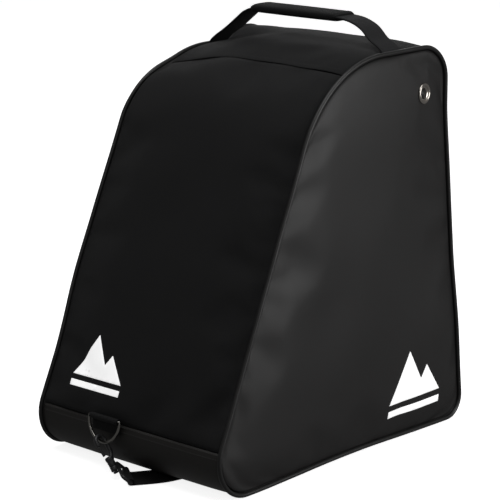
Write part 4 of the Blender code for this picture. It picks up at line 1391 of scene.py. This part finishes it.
# %% Sizes of the clips
RING_WIRE = 0.0015
RING_HALF = 0.0215
RING_DROP = 0.0235
RING_TILT = math.radians(10)
HOOK_WIRE = 0.0022
HOOK_CROWN = 0.0056
HOOK_TILT = math.radians(38)
BODY_START = 0.0170
BODY_END = 0.0270
STEM_END = 0.0345
BARREL_LENGTH = 0.0045
LOOP_WIRE = 0.0018
LOOP_HALF = 0.0215
FOLD_LENGTH = 0.0120
FRONT_BAR = Vector((-0.0250, -0.18999, 0.0580))
REAR_BAR = Vector((0.0860, 0.19602, 0.0580))


def rounded_corners(corners, radius, steps=5):
    """A closed path through corners with each one rounded."""
    path = []
    for i, corner in enumerate(corners):
        before = (corners[i - 1] - corner).normalized() * radius
        after = (corners[(i + 1) % len(corners)] - corner).normalized() * radius
        for k in range(steps + 1):
            t = k / steps
            path.append(corner + before * (1 - t) ** 2 + after * t ** 2)
    return path


def folded_web(name, centre, bar, tail, side, width, inner, ply, length, body, node):
    """Webbing folded round a bar, with its tail running off along one side of the loop."""
    bar, tail, side = (Vector(v).normalized() for v in (bar, tail, side))
    middle = inner + ply / 2
    path = [centre + side * middle + tail * length * (1 - i / 8) for i in range(8)]
    last = 2 * math.pi - math.acos(inner / (inner + ply)) * 1.02
    path += [centre + (side * math.cos(a) - tail * math.sin(a)) * middle for a in
             (last * i / 30 for i in range(31))]
    return sweep(name, frames_along(path, bar), flat_section(width, ply * 0.94, 10), STRAP_WEB, body=body,
                 node=node)


def make_clip(word, bar_centre, out, loop_bar, loop_shift, heading):
    """out is -1 at the front and 1 at the rear. Returns where the strap leaves the clip."""
    folded_web(word + "_web_tab", bar_centre, (1, 0, 0), (0, 0, -1), (0, -out, 0), 0.0385, RING_WIRE + GAP,
               0.0012, 0.0140, "root", word + "_tab")
    hang = Vector((0, out * math.sin(RING_TILT), -math.cos(RING_TILT)))
    bow = [bar_centre + Vector((RING_HALF * math.cos(a), 0, 0)) + hang * RING_DROP * math.sin(a)
           for a in (math.pi * i / 40 for i in range(41))]
    sweep(word + "_ring_wire", frames_along(bow, Vector((1, 0, 0)).cross(hang), closed=True),
          round_section(RING_WIRE, 16), GUNMETAL, closed=True, body=word + "_ring", node=word + "_d_ring")

    long_axis = Vector((-out * math.sin(HOOK_TILT), 0, -math.cos(HOOK_TILT)))
    width = Vector((0, -out, 0))
    seat = bar_centre + hang * RING_DROP - width * 0.0015

    def at(w, l):
        return seat + width * w + long_axis * l

    r = HOOK_CROWN
    crown = [at(-r, 0.0045), at(-r, 0.0015)]
    crown += [at(-r * math.cos(math.pi * i / 8), -0.001 - r * math.sin(math.pi * i / 8)) for i in range(9)]
    crown += [at(r, 0.004), at(r, 0.0115), at(r * 0.55, BODY_START), at(0.0012, BODY_START + 0.004)]
    path = smooth_path(crown, 4)
    sweep(word + "_hook_bend", frames_along(path, long_axis.cross(width)),
          [(a * 1.12, b) for a, b in round_section(HOOK_WIRE, 14)], PLASTIC, body=word + "_hook",
          node=word + "_snap_hook", scale=lambda s: (min(1, 0.55 + s * 12),) * 2)
    turn = long_axis.to_track_quat("Z", "Y").to_matrix().to_4x4()
    seat_turn = Matrix.Translation(seat) @ turn
    base = turned(word + "_hook_body", hook_body_profile(), seat_turn, PLASTIC, 28)
    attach(base, word + "_hook")
    gate = [at(-r, 0.0067), at(-0.0043, BODY_START - 0.0022)]
    sweep(word + "_hook_gate_bar", frames_along(smooth_path(gate, 6), long_axis.cross(width)),
          round_section(0.0014, 10), PLASTIC, body=word + "_gate", node=word + "_hook_gate")

    barrel_middle = at(0, BODY_END + GAP + BARREL_LENGTH / 2)
    half = BARREL_LENGTH / 2
    bore = 0.0020
    ring = [(bore, half - 0.0003), (bore, -half + 0.0003), (bore + 0.0003, -half), (0.0037, -half),
            (0.0040, -half + 0.0004), (0.0037, 0), (0.0040, half - 0.0004), (0.0037, half),
            (bore + 0.0003, half)]
    barrel = turned(word + "_swivel_barrel", ring, Matrix.Translation(barrel_middle) @ turn, PLASTIC, 28)
    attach(barrel, word + "_strap_clip")
    bar = Vector((*loop_bar, 0)).normalized()
    heading = Vector((*heading, 0)).normalized()
    near = barrel_middle + heading * 0.0046
    far = near + heading * 0.0085 + bar * loop_shift
    far.z = STRAP_LIFT + STRAP_THICKNESS + GAP + LOOP_WIRE
    corners = [near - bar * (LOOP_HALF - loop_shift), near + bar * (LOOP_HALF + loop_shift),
               far + bar * LOOP_HALF, far - bar * LOOP_HALF]
    loop = rounded_corners(corners, 0.0030)
    sweep(word + "_loop_wire", frames_along(loop, bar.cross(far - near), closed=True),
          round_section(LOOP_WIRE, 12), PLASTIC, closed=True, body=word + "_strap_clip",
          node=word + "_swivel_loop")
    folded_web(word + "_strap_fold", far, bar, heading, (0, 0, -1), STRAP_WIDTH, LOOP_WIRE + GAP,
               STRAP_THICKNESS, FOLD_LENGTH, word + "_strap_clip", word + "_strap_end")
    return far + heading * FOLD_LENGTH


def hook_body_profile():
    """The hook's moulded neck: a waisted body, its stem and the stem's head, as a turned shape."""
    shape = [(0.0018, BODY_START - 0.0006), (0.0040, BODY_START), (0.0045, BODY_START + 0.0012),
             (0.0043, BODY_START + 0.0034), (0.0037, BODY_START + 0.0046), (0.0040, BODY_START + 0.0060),
             (0.0037, BODY_START + 0.0074), (0.0038, BODY_END - 0.0006), (0.0034, BODY_END),
             (0.0016, BODY_END), (0.0016, STEM_END - 0.0017), (0.0027, STEM_END - 0.0017),
             (0.0027, STEM_END - 0.0005), (0.0022, STEM_END)]
    return [(0.00001, BODY_START - 0.0006)] + shape + [(0.00001, STEM_END)]


front_leave = make_clip("front", FRONT_BAR, -1, (0.81, -0.59), 0.0040, (0.59, 0.81))
rear_leave = make_clip("rear", REAR_BAR, 1, (1.0, 0.0), 0.0, (0.0, -1.0))
print("strap leaves the clips at", [tuple(round(c, 4) for c in p) for p in (front_leave, rear_leave)])

# %% [markdown]
# ## The shoulder strap
# The strap is one length of 38 mm webbing. It is stowed under the bag with its spare length folded in
# three, so only the short runs to the clips and one dark edge show. Each run is sewn to its clip and bends
# there.

# %% Strap runs and the folded middle
LAYER = 0.0016


def level_path(points, height):
    return [Vector((x, y, height)) for x, y in points]


def length_of(path):
    return sum((b - a).length for a, b in zip(path, path[1:]))


def strap_run(name, points, node, body, start, end):
    height = STRAP_LIFT + STRAP_THICKNESS / 2
    path = smooth_path(level_path(points, height), 10)
    reach = path[-1] - path[0]
    across = Vector((1, 0, 0)) if abs(reach.x) < abs(reach.y) else Vector((0, 1, 0))
    run = sweep(name, frames_along(path, across), flat_section(STRAP_WIDTH, STRAP_THICKNESS, 12), STRAP_WEB,
                body=None, node=node)
    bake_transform(run, "root", body, start=start, end=end)
    length_of(path)
    return length_of(path)


def folded_strap():
    """Three layers joined by two tight folds, lying on the floor under the base's channel."""
    first, last = Vector((*FRONT_RUN[-1], 0)), Vector((*REAR_RUN[0], 0))
    run = (last - first).normalized()
    first, last = first + run * 0.0085, last - run * 0.0085
    low = STRAP_LIFT + 0.0007
    path = [first.lerp(last, i / 40) + Vector((0, 0, low)) for i in range(41)]
    for layer, (tip, back) in enumerate(((last, first), (first, last))):
        sign = 1 if layer == 0 else -1
        middle = low + LAYER * (layer + 0.5)
        path += [tip + run * sign * 0.0012 * math.sin(math.pi * k / 6)
                 + Vector((0, 0, middle - LAYER / 2 * math.cos(math.pi * k / 6))) for k in range(1, 6)]
        path += [tip.lerp(back, i / 40) + Vector((0, 0, low + LAYER * (layer + 1)
                                                  + 0.0001 * math.sin(i * 0.9))) for i in range(41)]
    across = Vector((-run.y, run.x, 0))
    strap = sweep("strap_folded_length", frames_along(path, across), flat_section(STRAP_WIDTH, 0.0012, 12),
                  STRAP_WEB, node="shoulder_strap_fold")
    length_of(path)
    return length_of(path)


front_points = [front_leave.xy - Vector((0.59, 0.81)) * 0.001] + FRONT_RUN
rear_points = REAR_RUN + [rear_leave.xy + Vector((0, 0.001))]
lengths = [strap_run("strap_front_run", front_points, "shoulder_strap_front", "front_strap_clip",
                     (*FRONT_RUN[0], 0.001), tuple(front_leave)),
           folded_strap(),
           strap_run("strap_rear_run", rear_points, "shoulder_strap_rear", "rear_strap_clip",
                     (*REAR_RUN[1], 0.001), tuple(rear_leave))]
print("strap lengths", [round(v, 4) for v in lengths], "metres")

# %% [markdown]
# ## The empty bag's sag
# The bag stands empty, so it isn't quite even. Its left shoulder hangs about a centimetre lower beside the
# handle's root, its left front edge leans out a little, and its right rear edge is drawn in. One smooth
# movement is applied to every piece drawn here that rides only with the bag's fixed body, so that
# neighbouring pieces stay together. It carries the hard eyelet flanges and screens too, by up to 2 mm on
# the right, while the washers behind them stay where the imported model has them. The handle's webbing is
# drawn already lowered.

# %% Sag of the fixed body's pieces
SHOULDER_DROP = 0.012
EDGE_LEAN = 0.0065
EDGE_TUCK = 0.003


def sagged(p):
    left = eased((-p.x - 0.02) / 0.10)
    beside_handle = eased((p.y + 0.045) / 0.06) * (1 - eased((p.y - 0.085) / 0.028))
    drop = SHOULDER_DROP * left * beside_handle * eased((p.z - 0.25) / 0.15)
    waist = eased((p.z - 0.10) / 0.09) * (1 - eased((p.z - 0.33) / 0.06))
    lean = EDGE_LEAN * eased(-p.x / 0.12) * waist * (1 - eased((p.y + 0.06) / 0.12))
    tuck = EDGE_TUCK * eased((p.x - 0.100) / 0.02) * waist * eased((p.y - 0.06) / 0.08)
    return Vector((p.x - lean - tuck, p.y, p.z - drop))


fixed_pieces = [o for o in bpy.data.objects
                if o.type == "MESH" and o.name not in frame["nodes"] and body_of(o) == ["root"]]
for obj in fixed_pieces:
    for vertex in obj.data.vertices:
        vertex.co = sagged(vertex.co)
print("sagged", len(fixed_pieces), "pieces")

# %% [markdown]
# ## The printed marks
# A plain white picture of two peaks over a ground line is printed low on the front and low on the right
# side. Each is a thin skin of ink laid on the finished panel.

# %% Prints
PEAKS = [(-0.5, 0.0), (-0.13, 0.62), (0.11, 0.22), (0.22, 0.38), (0.5, 0.0)]
GROUND = [(-0.5, -0.17), (0.5, -0.17), (0.5, -0.08), (-0.5, -0.08)]


def print_mark(name, panel, centre, across, up, out, width):
    across, up, out = (Vector(v).normalized() for v in (across, up, out))
    builder = bmesh.new()
    for shape in (PEAKS, GROUND):
        corners = [builder.verts.new((a * width, b * width, 0)) for a, b in shape]
        builder.faces.new(corners)
    bmesh.ops.triangulate(builder, faces=builder.faces[:])
    for _ in range(4):
        long_edges = [e for e in builder.edges if e.calc_length() > 0.004]
        bmesh.ops.subdivide_edges(builder, edges=long_edges, cuts=1)
        bmesh.ops.triangulate(builder, faces=builder.faces[:])
    tree = surface_tree(panel)
    for vertex in builder.verts:
        flat = Vector(centre) + across * vertex.co.x + up * vertex.co.y
        vertex.co = drop_on(tree, flat, out, 0.00012)[0]
    obj = add_mesh(name, builder, PRINT)
    ink = obj.modifiers.new("ink", "SOLIDIFY")
    ink.thickness = 0.0001
    ink.offset = 1
    return plain(obj, "root")


front_out = Vector((0, -math.cos(FRONT_LEAN), math.sin(FRONT_LEAN)))
front_up = Vector((0, math.sin(FRONT_LEAN), math.cos(FRONT_LEAN)))
print_mark("front_print", panels["front_panel"], (-0.0530, -0.1690, 0.0870), (1, 0, 0), front_up, front_out,
           0.070)
print_mark("side_print", panels["side_right"], (0.128, 0.1060, 0.0430), (0, 1, 0), (0, 0, 1), (1, 0, 0),
           0.084)
